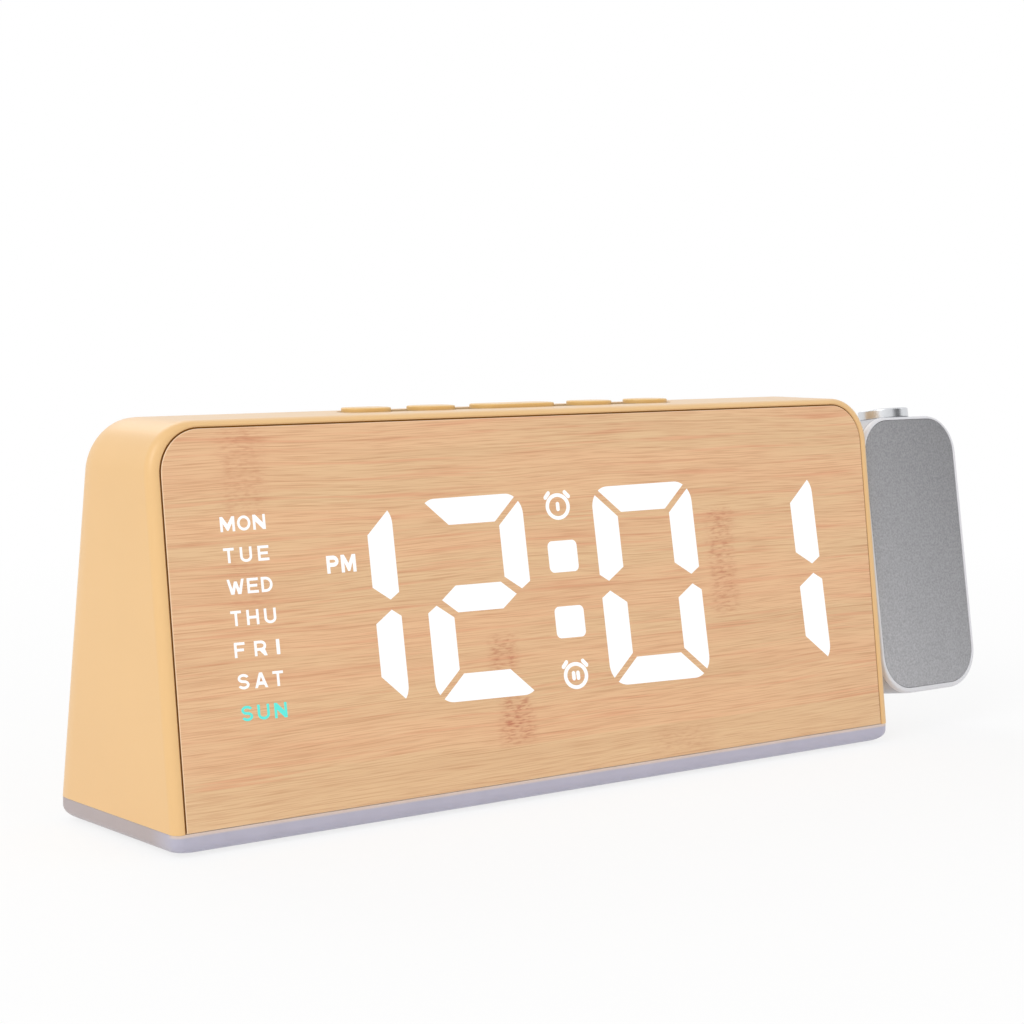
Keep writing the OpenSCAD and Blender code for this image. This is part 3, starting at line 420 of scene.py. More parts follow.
def loft(rings, around=True, through=False):
    """Vertices and faces of rings joined by quads. around: each ring closes on itself; through: the last ring joins
    the first. Open ends are filled by one face each, so the result is closed."""
    rings = np.asarray(rings, float)
    rows, columns = rings.shape[:2]
    index = np.arange(rows * columns).reshape(rows, columns)
    grid = np.vstack([index, index[:1]]) if through else index
    grid = np.hstack([grid, grid[:, :1]]) if around else grid
    quads = np.stack([grid[:-1, :-1], grid[:-1, 1:], grid[1:, 1:], grid[1:, :-1]], -1)
    ends = [] if through else [index[0, ::-1], index[-1]]
    if not around:
        ends += [index[:, 0], index[::-1, -1]]
    return rings.reshape(-1, 3), quads.reshape(-1, 4).tolist() + [e.tolist() for e in ends]


def solid(outline, profile, place):
    """A closed solid: a profile carried round an outline, with both ends filled."""
    return loft(carry(outline, profile, place))


def new_object(name, parts):
    """A linked object with one mesh of several closed parts: doubles merged, faces turned outwards."""
    vertices, faces, count = [], [], 0
    for points, polygons in parts:
        vertices.append(points)
        faces += [[i + count for i in corners] for corners in polygons]
        count += len(points)
    mesh = bpy.data.meshes.new(name)
    mesh.from_pydata(np.concatenate(vertices), [], faces)
    work = bmesh.new()
    work.from_mesh(mesh)
    bmesh.ops.remove_doubles(work, verts=work.verts, dist=1e-7)
    bmesh.ops.recalc_face_normals(work, faces=work.faces)
    work.to_mesh(mesh)
    work.free()
    made = bpy.data.objects.new(name, mesh)
    bpy.context.scene.collection.objects.link(made)
    return made


def cut(target, parts):
    """Takes closed parts out of an object."""
    cutter = new_object(target.name + "_cutter", parts)
    modifier = target.modifiers.new("cut", "BOOLEAN")
    modifier.operation = "DIFFERENCE"
    modifier.solver = "EXACT"
    modifier.use_self = True
    modifier.object = cutter
    shaped = target.evaluated_get(bpy.context.evaluated_depsgraph_get())
    old, cutter_mesh = target.data, cutter.data
    mesh = bpy.data.meshes.new_from_object(shaped)
    target.modifiers.clear()
    target.data = mesh
    bpy.data.objects.remove(cutter)
    for spare in (old, cutter_mesh):
        bpy.data.meshes.remove(spare)
    if not mesh.polygons:
        raise RuntimeError(f"{target.name}: nothing is left after the cut")


def piece(name, parts, finish_name, nodes=(), cuts=(), body="case"):
    """A finished piece: its solids and cuts, smooth apart from its sharp edges, with its finish, on its body."""
    made = new_object(name, parts)
    if cuts:
        cut(made, cuts)
    mesh = made.data
    mesh.polygons.foreach_set("use_smooth", np.ones(len(mesh.polygons), bool))
    mesh.set_sharp_from_angle(angle=SHARP)
    mesh.materials.clear()
    mesh.materials.append(finish(finish_name))
    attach(made, body)
    if nodes:
        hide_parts(*nodes)


# ---- Finishes ----

NOISE_RANGE = (0.3, 0.7)  # where most values of a noise lie
CLOUD = 18 * MM  # size of the faint clouds in a moulded colour
GLOSS_SPREAD = 0.04
MIXED_COLOUR = {"out": 2, "data_type": "RGBA"}


def add(owner, kind, inputs=(), out=0, **settings):
    """Adds a shader node to an owner's tree with its settings, and gives one of its outputs, or all for None.
    Inputs are the first ones in order, or a dictionary by name or number; an input given as a socket is linked."""
    made = owner.node_tree.nodes.new("ShaderNode" + kind)
    for name, value in settings.items():
        setattr(made, name, value)
    for key, value in inputs.items() if isinstance(inputs, dict) else enumerate(inputs):
        if isinstance(value, bpy.types.NodeSocket):
            owner.node_tree.links.new(value, made.inputs[key])
        else:
            made.inputs[key].default_value = value
    return made.outputs if out is None else made.outputs[out]


def new_material(name):
    """A material with an empty node tree, the function that adds to it, and its object coordinates."""
    made = bpy.data.materials.new(name)
    made.use_nodes = True
    made.node_tree.nodes.clear()
    node = partial(add, made)
    return made, node, node("TexCoord", out="Object")


def surface(made, inputs):
    """Ends a material in a Principled shader with these inputs."""
    add(made, "OutputMaterial", {"Surface": add(made, "BsdfPrincipled", inputs)}, out=None)
    return made


def finish(name):
    """A finish by name, made on its first use."""
    _, recipe, *values = FINISHES[name]
    return bpy.data.materials.get(name) or recipe(name, *values)


def moulded(name, colour, roughness, grain_mm, relief_mm, mottle=0.03, more=()):
    """Moulded plastic and rubber, and the dull linings of painted shade: a faintly mottled colour, and the mould's
    eroded grain as bump and gloss.
    """
    made, node, place = new_material(name)
    base = linear(colour) if colour[0] == "#" else getattr(chosen("finishes"), colour)
    grain = node("TexNoise", {"Vector": place, "Scale": 1 / (grain_mm * MM), "Detail": 3.0})
    cloud = node("TexNoise", {"Vector": place, "Scale": 1 / CLOUD, "Detail": 2.0})
    shade = node("MapRange", (cloud, *NOISE_RANGE, 1 - mottle, 1 + mottle / 3))
    tone = node("Mix", {0: 1.0, 6: base, 7: shade}, blend_type="MULTIPLY", **MIXED_COLOUR)
    gloss = node("MapRange", (grain, *NOISE_RANGE, roughness - GLOSS_SPREAD, roughness + GLOSS_SPREAD))
    bump = node("Bump", {"Height": grain, "Distance": relief_mm * MM, "Strength": 0.6})
    return surface(made, {"Base Color": tone, "Roughness": gloss, "Normal": bump, **dict(more)})


def metal(name, colour, roughness, wear_mm, relief_mm, spread=0.06):
    """Metal: an even colour, with fine wear that varies its roughness and its bump."""
    made, node, place = new_material(name)
    wear = node("TexNoise", {"Vector": place, "Scale": 1 / (wear_mm * MM), "Detail": 4.0})
    gloss = node("MapRange", (wear, *NOISE_RANGE, roughness - spread, roughness + spread))
    bump = node("Bump", {"Height": wear, "Distance": relief_mm * MM, "Strength": 0.5})
    return surface(made, {"Base Color": linear(colour), "Metallic": 1.0, "Roughness": gloss, "Normal": bump})


# painted shading: the grey is painted a little paler towards the foot and towards the case, as light falls on it:
# change per metre, and its start
PAINTED_SHADING, PAINTED_SHADING_START = (-7.5, 0.0, -5.2), 1.933


def blasted(name):
    """Bead-blasted and anodised aluminium: a soft grey sheen, with the blasting's fine light and dark specks, and
    painted shading that makes it paler towards the foot and towards the case.
    """
    made, node, place = new_material(name)
    # the beads leave dents of about 0.1 mm; they are drawn 0.45 mm wide, so that they show
    specks = node("TexNoise", {"Vector": place, "Scale": 1 / (0.45 * MM), "Detail": 1.0})
    tone = node("MapRange", (specks, *NOISE_RANGE, 0.86, 1.14))
    # painted shading: paler towards the foot and towards the case
    painted_shading = node("VectorMath", (place, PAINTED_SHADING), out="Value", operation="DOT_PRODUCT")
    painted_shading = node("Math", (painted_shading, PAINTED_SHADING_START), operation="ADD")
    both = node("Math", (tone, painted_shading), operation="MULTIPLY")
    base = {0: 1.0, 6: chosen("finishes").face, 7: both}
    colour = node("Mix", base, blend_type="MULTIPLY", **MIXED_COLOUR)
    bump = node("Bump", {"Height": specks, "Distance": 0.02 * MM, "Strength": 0.5})
    return surface(made, {"Base Color": colour, "Metallic": 0.35, "Roughness": 0.55, "Normal": bump})


# the veneer's streaks: length and height in millimetres, place in the noise, detail, and the range that shows
STREAKS = {
    "zones": (110, 8, 3.1, 1.0, 0.36, 0.64),
    "rose": (40, 1.1, 17.3, 2.0, 0.50, 0.74),
    "broad": (70, 3.0, 41.7, 2.0, 0.42, 0.70),
    "long": (80, 0.4, 29.3, 1.0, 0.58, 0.74),
    "fibre": (20, 0.36, 73.9, 2.0, 0.52, 0.74),
    "fine": (11, 0.22, 11.2, 1.0, 0.46, 0.68),
    "light": (24, 0.5, 55.5, 1.0, 0.54, 0.76),
}
# the cane's rings: middle and reach across, lower and upper end in millimetres, and how strongly they show
RING_PLACES = (
    (-75.0, 7.0, 57.0, 76.0, 0.36),
    (-75.0, 6.0, 38.0, 52.0, 0.2),
    (-16.5, 5.0, 22.0, 31.0, 0.7),
    (-14.4, 6.0, 7.4, 18.0, 0.85),
    (45.6, 5.5, 29.5, 54.0, 0.55),
    (30.0, 12.0, 0.3, 7.0, 0.3),
)


def bamboo(name):
    """Satin bamboo veneer: strips of slightly different cane, long brown fibres, and reddish specks where a cane
    had its rings."""
    made, node, place = new_material(name)
    tints, b = chosen("finishes"), chosen("body")
    # x across and s up the front face, in millimetres from the middle of its foot
    frame_of_face = {
        "Vector": place,
        "Location": (middle_x(), -b.depth / 2, shell_z()),
        "Rotation": (math.pi / 2 - b.front_lean, 0, 0),
        "Scale": (MM, MM, MM),
    }
    face = node("Mapping", frame_of_face, vector_type="TEXTURE")
    # the fibres wander up and down by half a millimetre over a few centimetres
    drift = node("Mapping", {"Vector": face, "Scale": (1 / 60, 1 / 20, 0)})
    drift = node("TexNoise", {"Vector": drift, "Scale": 1.0, "Detail": 1.0}, out="Color")
    drift = node("VectorMath", (drift, (0.5, 0.5, 0.5)), operation="SUBTRACT")
    drift = node("VectorMath", (drift, (4.0, 2.6, 0.0)), operation="MULTIPLY")
    grain = node("VectorMath", (face, drift), operation="ADD")
    x_mm, s_mm, _ = node("SeparateXYZ", (grain,), out=None)
    streaks = {}
    for kind, (along, high, shift, detail, low, full) in STREAKS.items():
        spot = {"Vector": grain, "Location": (shift, shift, 0), "Scale": (1 / along, 1 / high, 0)}
        noise = {"Vector": node("Mapping", spot), "Scale": 1.0, "Detail": detail, "Roughness": 0.55}
        streaks[kind] = node("MapRange", (node("TexNoise", noise), low, full), interpolation_type="SMOOTHSTEP")
    rings = 0.0
    for mid, reach, low, high, weight in RING_PLACES:
        off_x = node("Math", (node("Math", (x_mm, mid), operation="SUBTRACT"),), operation="ABSOLUTE")
        across = node("MapRange", (off_x, reach / 3, reach, weight, 0.0), interpolation_type="SMOOTHSTEP")
        off_s = node("Math", (s_mm, (low + high) / 2), operation="SUBTRACT")
        off_s, half = node("Math", (off_s,), operation="ABSOLUTE"), (high - low) / 2
        along = node("MapRange", (off_s, half - 2.0, half + 0.5, 1.0, 0.0))
        mark = node("Math", (across, along), operation="MULTIPLY")
        rings = node("Math", (rings, mark), operation="MAXIMUM")
    spot = node("Mapping", {"Vector": grain, "Scale": (1 / 2.2, 1 / 0.46, 0)})
    specks = node("TexNoise", {"Vector": spot, "Scale": 1.0, "Detail": 2.0})
    specks = node("MapRange", (specks, 0.46, 0.66))
    specks = node("Math", (specks, 0.72, 0.13), operation="MULTIPLY_ADD")
    rings = node("Math", (rings, specks), operation="MULTIPLY")
    # painted highlight and painted shade: the eased edge is painted pale, and the cut side below it, in the groove,
    # is painted dark brown, but not at the foot
    depth = node("SeparateXYZ", (face,), out=2)
    # painted shade: the veneer's cut side in the groove is painted dark brown
    painted_groove_shade = node("MapRange", (depth, -0.2, -0.14, 1.0, 0.0))
    above = node("MapRange", (s_mm, 0.4, 0.6))
    painted_groove_shade = node("Math", (painted_groove_shade, above), operation="MULTIPLY")
    # painted highlight: the eased edge is painted pale
    painted_edge_highlight = node("MapRange", (depth, -0.08, -0.01, 1.0, 0.0))
    # a strip of paler, greener cane along the foot
    foot = node("MapRange", (s_mm, 7.3, 7.6, 1.0, 0.0))
    colour = tints.bamboo_green
    for share, layer, tone in (
        (1.0, streaks["zones"], tints.bamboo),
        (0.7, streaks["rose"], tints.bamboo_rose),
        (0.9, foot, tints.bamboo_green),
        (0.11, streaks["broad"], tints.fibre),
        (0.25, streaks["long"], tints.fibre),
        (0.31, streaks["fibre"], tints.fibre),
        (0.27, streaks["fine"], tints.fibre),
        (0.25, streaks["light"], linear("#F8D6A8")),
        (1.0, rings, tints.node_red),
        (0.85, painted_edge_highlight, linear("#FFE9C9")),
        (0.95, painted_groove_shade, linear("#7E4F1E")),
    ):
        amount = node("Math", (layer, share), operation="MULTIPLY")
        colour = node("Mix", {0: amount, 6: colour, 7: tone}, **MIXED_COLOUR)
    bump = node("Bump", {"Height": streaks["fibre"], "Distance": 0.02 * MM, "Strength": 0.4}, invert=True)
    return surface(made, {"Base Color": colour, "Roughness": 0.52, "IOR": 1.5, "Normal": bump})


def milky(name):
    """Milky acrylic: light enters it and scatters; satin outside, with a painted pale highlight along the front's
    upper edge and a painted darker, warmer shade at its left end.
    """
    made, node, place = new_material(name)
    front = -chosen("body").depth / 2
    end = middle_x() - chosen("body").width / 2
    x, y, z = node("SeparateXYZ", (place,), out=None)
    haze = node("TexNoise", {"Vector": place, "Scale": 1 / (6 * MM), "Detail": 3.0})
    shade = node("MapRange", (haze, *NOISE_RANGE, 0.97, 1.02))
    gloss = node("MapRange", (haze, 0.0, 1.0, 0.26, 0.36))
    # painted shade: the left end, from 1 mm behind the front, is painted a darker, warmer tone
    behind = node("MapRange", (y, front + 1 * MM, front + 9 * MM))
    painted_left_shade = node("MapRange", (x, end + 0.3 * MM, end + 5 * MM, behind, 0.0))
    # painted highlight: in front, the upper edge is painted a pale, warmer colour, like light from the veneer above
    # it
    edge = node("MapRange", (y, front + 1.2 * MM, front + 2.4 * MM, 0.8, 0.0))
    edge = node("MapRange", (z, shell_z() - 0.75 * MM, shell_z() - 0.4 * MM, 0.0, edge))
    tone = node("Mix", {0: painted_left_shade, 6: chosen("finishes").base, 7: linear("#B6AAAA")}, **MIXED_COLOUR)
    tone = node("Mix", {0: edge, 6: tone, 7: linear("#E8D2C2")}, **MIXED_COLOUR)
    tone = node("Mix", {0: 1.0, 6: tone, 7: shade}, blend_type="MULTIPLY", **MIXED_COLOUR)
    glow = {"Subsurface Weight": 0.25, "Subsurface Radius": (1.0, 1.0, 1.1), "Subsurface Scale": 2 * MM}
    return surface(made, {"Base Color": tone, "Roughness": gloss, "IOR": 1.49, **glow})


def glass(name):
    """Polished optical glass: clear, with a barely uneven polish."""
    made, node, place = new_material(name)
    haze = node("TexNoise", {"Vector": place, "Scale": 1 / (2 * MM), "Detail": 2.0})
    inputs = {"Roughness": node("MapRange", (haze, 0.0, 1.0, 0.0, 0.03)), "IOR": 1.52, "Transmission Weight": 1.0}
    return surface(made, {"Base Color": linear("#F2F8FA"), **inputs})


def solder_mask(name):
    """Green solder mask over copper: glossy, with paler tracks 0.5 mm wide under it."""
    made, node, place = new_material(name)
    greens = {"Color1": linear("#1E6A44"), "Color2": linear("#1B633F"), "Mortar": linear("#2E8357")}
    tracks = node("TexBrick", {"Vector": place, "Scale": 1 / (10 * MM), "Mortar Size": 0.05, **greens})
    return surface(made, {"Base Color": tracks, "Roughness": 0.3, "IOR": 1.5})


def lit(name, colour):
    """Lit window: milky film with an even light behind it."""
    made, node, place = new_material(name)
    film = node("TexNoise", {"Vector": place, "Scale": 1 / (0.4 * MM), "Detail": 1.0})
    gloss = node("MapRange", (film, 0.0, 1.0, 0.5, 0.6))
    light = {"Emission Color": getattr(chosen("finishes"), colour), "Emission Strength": 1.0}
    return surface(made, {"Base Color": linear("#101010"), "Roughness": gloss, **light})


DULL = {"Specular IOR Level": 0.1}
SOFT = {"Sheen Weight": 0.3, "Sheen Roughness": 0.3}

# each finish: the record's slot of the new pieces that have it, its recipe and the recipe's values, which for a
# moulded one or a metal are colour, roughness, and width and height of its grain in millimetres
FINISHES = {
    # fine matt skin from an eroded mould: about 0.15 mm grain, drawn 0.3 mm wide so that it shows
    "Matt ABS": ("shell_abs", moulded, "shell", 0.36, 0.3, 0.008, 0.015, SOFT),
    # smoother and a little glossier, from fingers and from a finer mould
    "Satin ABS": ("key_abs", moulded, "keys", 0.3, 0.3, 0.004, 0.015),
    # the veneer's cane, fibres and rings under a satin lacquer
    "Bamboo veneer": ("bamboo_veneer", bamboo),
    # painted shade: a dull brown strip that stands for the line of shade round the front panel
    "Foam tape": ("foot_rubber", moulded, "#8A5A26", 0.95, 0.3, 0.02, 0.03, DULL),
    # painted shade: a dull, dark brown lining that stands for the shade in the bed round the keys
    "Felt": ("foot_rubber", moulded, "#B09068", 0.95, 0.4, 0.03, 0.03, DULL),
    # dark rubber with a dusty, even matt
    "Matt rubber": ("foot_rubber", moulded, "#3B3B3D", 0.8, 0.4, 0.02),
    # a soft depth from light that scatters inside, a painted pale highlight on the front's upper edge and a painted
    # darker, warmer shade at the left end
    "Milky acrylic": ("milky_base", milky),
    # light grey case of the projector, faintly grained
    "Grey ABS": ("projector_abs", moulded, "tub", 0.4, 0.3, 0.006),
    # brighter and smoother than the case: a clean line round the face
    "Pearl ABS": ("bezel_white", moulded, "bezel", 0.32, 0.3, 0.004),
    # fine light and dark specks under a soft sheen
    "Blasted aluminium": ("blasted_face", blasted),
    # soft bright bands with few marks
    "Chrome plate": ("chrome_plate", metal, "#D7D9DC", 0.32, 1.5, 0.001, 0.03),
    # clear, with sharp highlights
    "Optical glass": ("lens_glass", glass),
    # zinc-bright with rubbed tool marks
    "Plated steel": ("screw_steel", metal, "#B8BCC0", 0.28, 0.4, 0.004),
    # dark moulded parts with a grainy, half-dull skin
    "Black ABS": ("black_plastic", moulded, "#26262A", 0.45, 0.3, 0.008),
    # even white light, and the blue-green of the weekday that is shown
    "White window": ("milky_film", lit, "figures"),
    "Blue-green window": ("milky_film", lit, "today"),
    # dark and smooth, so that no light leaks round the figures
    "Smoked polycarbonate": (None, moulded, "#3A332F", 0.4, 0.3, 0.005),
    # white sheet that spreads the light
    "Milky film": (None, moulded, "#F6F6F2", 0.5, 0.4, 0.004),
    # plain white moulded parts
    "White ABS": (None, moulded, "#F0EFEA", 0.4, 0.3, 0.006),
    # glossy green with paler tracks
    "Solder mask": (None, solder_mask),
    # glassy pale yellow drops over the light-emitting chips
    "Potting resin": (None, moulded, "#FFF2CC", 0.15, 0.5, 0.002),
    # warmer and smoother than steel
    "Nickel plate": (None, metal, "#C4C7CA", 0.22, 0.6, 0.002),
    # pale flat cable with a slight sheen
    "Polyester cable": (None, moulded, "#D9D9DD", 0.35, 0.8, 0.006),
    # beige and coarser, since it faces the table
    "Base ABS": (None, moulded, "#E8D9B8", 0.5, 0.3, 0.01),
}

NODE_FINISHES = {
    "Smoked polycarbonate": ["panel_carrier"],
    "Milky film": ["diffuser_sheet"],
    "White ABS": ["light_mask", "battery_cup", "lead_socket", "hub_spacer", "lead_header", "night_light_strips"],
    "Solder mask": ["display_board", "key_board", "main_board", "projector_board", "lamp_board"],
    "Potting resin": ["display_leds", "night_light_leds", "projector_lamp"],
    "Plated steel": ["display_screws", "key_board_screws", "main_board_screws", "hub_screws", "spring_washer"]
    + ["pivot_hub", "retaining_clip", "coin_cell"],
    "Nickel plate": ["battery_contacts", "usb_port"],
    "Black ABS": ["key_switches", "control_chip", "power_jack", "projector_lead", "optic_tube", "time_film"],
    "Polyester cable": ["display_ribbon", "key_ribbon"],
    "Base ABS": ["base_plate"],
    "Optical glass": ["condenser_lens"],
}


# ---- The case ----

CHAMFER = 0.15 * MM  # where a slot or a hole comes out
PANEL_FOOT = 0.1 * MM  # gap between a panel and the base
SLOT_COUNT = 7
SLOT_PITCH = 3 * MM
SLOT_WIDTH = 1.5 * MM
SLOT_MARGIN = 2 * MM  # from the speaker's rim to the slots
SPEAKER_RADIUS = 14 * MM
SPEAKER_AT = (40 * MM, 40 * MM)
BATTERY_AT = (-46 * MM, 40 * MM)
DOOR_RADIUS = 12 * MM
LUG_REACH = 13.4 * MM
LUG_WIDTH = 6 * MM
DOOR_PLAY = 0.2 * MM
PORT_PLAY = 0.4 * MM  # in all, not on each side
COVER_SCREW_INSETS = (10 * MM, 9 * MM)  # from the sides of the case, and from the cover's upper and lower ends
HEAD_RADIUS, HEAD_HEIGHT, SHANK_RADIUS = 2 * MM, 1.2 * MM, 1 * MM
HEAD_ROUNDING = (0.5 * MM, 0.4 * MM)  # across and high
CROSS_HALF, CROSS_REACH = 0.33 * MM, 1.25 * MM
CROSS_TAPER = ((0.55, -0.9 * MM), (1.05, 0.1 * MM))  # share of its width, and height
SEAT_RADIUS, HOLE_RADIUS = 2.2 * MM, 1.1 * MM
BASE_PLATE = 1.8 * MM  # thickness of the plate in the base
BASE_OPENING = (150 * MM, 22 * MM, MM)  # length, depth and corner radius of the opening in the base's top
BASE_SCREWS = (15 * MM, (-6.5 * MM, 9 * MM))  # distance from the sides, and places from front to back
FEET = (17 * MM, (-9 * MM, 9 * MM))
BASE_BEND = 0.6  # where the base starts to narrow, as a share of its height
COIN_SLOT = (14 * MM, 1.8 * MM)
PLAY = 0.06 * MM  # play round a turning piece
NECK_RADIUS = 4.3 * MM  # of the focus ring, inside the projector
VENEER_EDGE = 0.24 * MM
# painted groove shade: height of the brown strip's top below the face
GROOVE_SHADE_TOP = -0.4 * MM
BED_MARGINS = (2.2 * MM, 0.7 * MM)  # by which the bed is longer and wider than the row of keys, in all
CROWN_END = 0.94  # last ring of a key's crown, as a share of half its depth
# half of the speaker: dust cap, cone, rolled edge, frame and magnet, as radius and height in millimetres
SPEAKER_SHAPE = [(0.0, -1.5), (1.5, -1.6), (3.0, -2.1), (3.2, -2.4), (9.6, -0.9), (10.1, -0.7), (10.8, -0.45)]
SPEAKER_SHAPE += [(11.5, -0.7), (11.8, -1.0), (12.4, -1.0), (12.4, 0.0), (14.0, 0.0), (14.0, -2.0)]
SPEAKER_SHAPE += [(7.0, -2.6), (7.0, -5.0), (0.0, -5.0)]


def pocket_height(lean):
    """Height of the front or rear pocket, measured up its leaning face."""
    b = chosen("body")
    return (b.height - b.base - b.rim_top) / math.cos(lean)


def pocket_outline(lean, gap=0.0, low=0.0):
    """Open outline of the front or rear pocket or, with a gap, closed outline of the panel that fills it."""
    b = chosen("body")
    high = pocket_height(lean) - gap
    return arch(b.width - 2 * b.rim - 2 * gap, low, high, b.corner - b.rim_top - gap, gap > 0)


def key_centres():
    """Name, middle across and width of each key, from left to right."""
    k = chosen("keys")
    inner = k.wide / 2 + k.gap + k.narrow / 2
    middles = (-inner - k.gap - k.narrow, -inner, 0.0, inner, inner + k.gap + k.narrow)
    widths = (k.narrow, k.narrow, k.wide, k.narrow, k.narrow)
    return list(zip(("mode_key", "down_key", "snooze_key", "up_key", "alarm_key"), middles, widths))


def key_y():
    """Middle of the row of keys, from front to back."""
    up = top_z() - shell_z()
    return (behind_front(0.0, up, 0.0)[1] + before_rear(0.0, up, 0.0)[1]) / 2 + chosen("keys").back


def key_bed(profile):
    """Solid of the long pill round all five keys."""
    k = chosen("keys")
    row = k.wide + 4 * (k.gap + k.narrow)
    outline = pill(row + BED_MARGINS[0], k.depth + BED_MARGINS[1])
    return solid(outline, profile, upright_at(middle_x(), key_y()))


def key_openings(profile):
    """Solids of the five openings, with the keys' play all round."""
    k = chosen("keys")
    return [
        solid(pill(w + 2 * k.slip, k.depth + 2 * k.slip), profile, upright_at(middle_x() + x, key_y()))
        for _, x, w in key_centres()
    ]


class ClockShell(bpy.types.Operator):
    """Moulds the shell: pocket, rim and rounded edges carried over the arch from foot to foot"""

    bl_idname = "clock.shell"
    bl_label = "Shell"

    def execute(self, context):
        b, k, p = chosen("body"), chosen("keys"), chosen("projector")
        skin = partial(arch, b.width, 0, top_z() - shell_z(), b.corner)
        panel_t, ease = b.veneer + b.carrier, 0.25 * MM

        def pocket(depth):
            """Profile of a pocket, from the back of its ledge to its eased mouth."""
            back = -depth - b.ledge_t
            return [(b.ledge, back), (b.ledge, -depth), (0, -depth), (0, -ease), (-ease, 0)]

        rear_rounding = fillet((b.rear_edge, 0), (0, 0), (0, b.rear_edge_depth), 10)
        sections = (
            (pocket_outline(b.front_lean), pocket(panel_t), on_front),
            (skin(share=b.edge_top / b.edge), fillet((b.edge, 0), (0, 0), (0, b.edge)), behind_front),
            (skin(share=b.rear_edge_top / b.rear_edge), rear_rounding[::-1], before_rear),
            (pocket_outline(b.back_lean), pocket(b.cover)[::-1], lambda x, s, n: on_rear(-x, s, n)),
            (skin(), [(b.wall, (b.cover + b.ledge_t) / math.cos(b.back_lean))], before_rear),
            (skin(), [(b.wall, (panel_t + b.ledge_t) / math.cos(b.front_lean))], behind_front),
        )
        rings = np.concatenate([carry(*section) for section in sections])
        rings[..., 2] = np.maximum(rings[..., 2], shell_z())
        top, hub_x = top_z(), -(p.gap + p.width / 2)
        cuts = key_openings(flared_cut(top - 2 * b.wall, top, 0.2 * MM))
        cuts.append(key_bed([(0, top - k.bed), (0, top + MM)]))
        bore = [(0, hub_x - 2 * b.wall), (0, hub_x + MM)]
        cuts.append(solid(circle(p.hub + PLAY), bore, on_pivot_axis))
        piece("shell", [loft(rings, around=False, through=True)], "Matt ABS", ["main_shell"], cuts)
        return {"FINISHED"}


class ClockVeneer(bpy.types.Operator):
    """Lays the bamboo veneer on its plate, with its edges just eased, and a dull brown strip of painted shade in the
    groove round it
    """

    bl_idname = "clock.veneer"
    bl_label = "Bamboo veneer"

    def execute(self, context):
        b = chosen("body")
        plate = eased_plate(-b.veneer, 0, VENEER_EDGE)
        plate = solid(pocket_outline(b.front_lean, b.gap, PANEL_FOOT), plate, on_front)
        piece("veneer", [plate], "Bamboo veneer", ["veneer_face"])
        # painted shade: a brown strip 0.4 mm down in the groove stands for the shade there
        groove_shade = [(0, -b.veneer), (b.gap, -b.veneer), (b.gap, GROOVE_SHADE_TOP), (0, GROOVE_SHADE_TOP)]
        groove_shade = carry(pocket_outline(b.front_lean), groove_shade, on_front)
        piece("panel_tape", [loft(groove_shade, around=False, through=True)], "Foam tape")
        return {"FINISHED"}


def cover_screw_places():
    """Places of the rear cover's screws on the rear face."""
    b, (inset, low) = chosen("body"), COVER_SCREW_INSETS
    side, high = b.width / 2 - inset, pocket_height(b.back_lean) - low
    return [(x, s) for x in (-side, side) for s in (low, high)]


def tub_screw_places():
    """Places of the projector's screws, each inside a rounded corner and 0.2 mm clear of its wall."""
    p = chosen("projector")
    off = (p.corner - p.wall - SEAT_RADIUS - 0.2 * MM) / math.sqrt(2)
    dx, du = p.width / 2 - p.corner + off, p.height / 2 - p.corner + off
    return [(x, u) for x in (-dx, dx) for u in (-du, du)]


def four_places(inset, depths):
    """Places under the case, at a distance from its left and right sides."""
    side = chosen("body").width / 2 - inset
    return [(middle_x() + x, y) for x in (-side, side) for y in depths]


def base_plate_z():
    """Height of the underside of the plate in the base."""
    b = chosen("body")
    return b.foot_proud + b.base_pocket - BASE_PLATE


class ClockRearCover(bpy.types.Operator):
    """Makes the rear cover with its sound slots, port windows, battery opening and screw seats"""

    bl_idname = "clock.rear_cover"
    bl_label = "Rear cover"

    def execute(self, context):
        b = chosen("body")
        outline = pocket_outline(b.back_lean, b.gap, b.cover * math.tan(b.back_lean) + PANEL_FOOT)
        plate = solid(outline, eased_plate(-b.cover, 0, 0.3 * MM), on_rear)
        below = -b.cover - MM
        through = flared_cut(below, 0, CHAMFER)
        cuts = []
        for i in range(SLOT_COUNT):
            off = (i - (SLOT_COUNT - 1) / 2) * SLOT_PITCH
            w = 2 * math.sqrt((SPEAKER_RADIUS - SLOT_MARGIN) ** 2 - off * off)
            cuts.append(solid(pill(w, SLOT_WIDTH), through, shifted(on_rear, SPEAKER_AT[0], SPEAKER_AT[1] + off)))
        opening = lugged(DOOR_RADIUS + DOOR_PLAY, LUG_REACH + DOOR_PLAY, LUG_WIDTH / 2 + DOOR_PLAY, 0)
        cuts.append(solid(opening, through, shifted(on_rear, *BATTERY_AT)))
        seat = [(0, below), (HOLE_RADIUS, below), (HOLE_RADIUS, -HEAD_HEIGHT), (SEAT_RADIUS, -HEAD_HEIGHT)]
        seat += [(SEAT_RADIUS, -CHAMFER), (SEAT_RADIUS + CHAMFER + MM, MM), (0, MM)]
        cuts += [loft(turned(seat, shifted(on_rear, x, s), 48)) for x, s in cover_screw_places()]
        for node in ("power_jack", "usb_port"):
            low, high = (np.array(corner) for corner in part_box(node))
            w, h = (high - low)[[0, 2]] + PORT_PLAY
            x, _, z = (high + low) / 2
            cuts.append(solid(round_rect(w, h, 0.3 * MM), [(0, 0), (0, 2 * b.depth)], level_at(x, z)))
        piece("cover", [plate], "Matt ABS", ["rear_cover"], cuts)
        return {"FINISHED"}


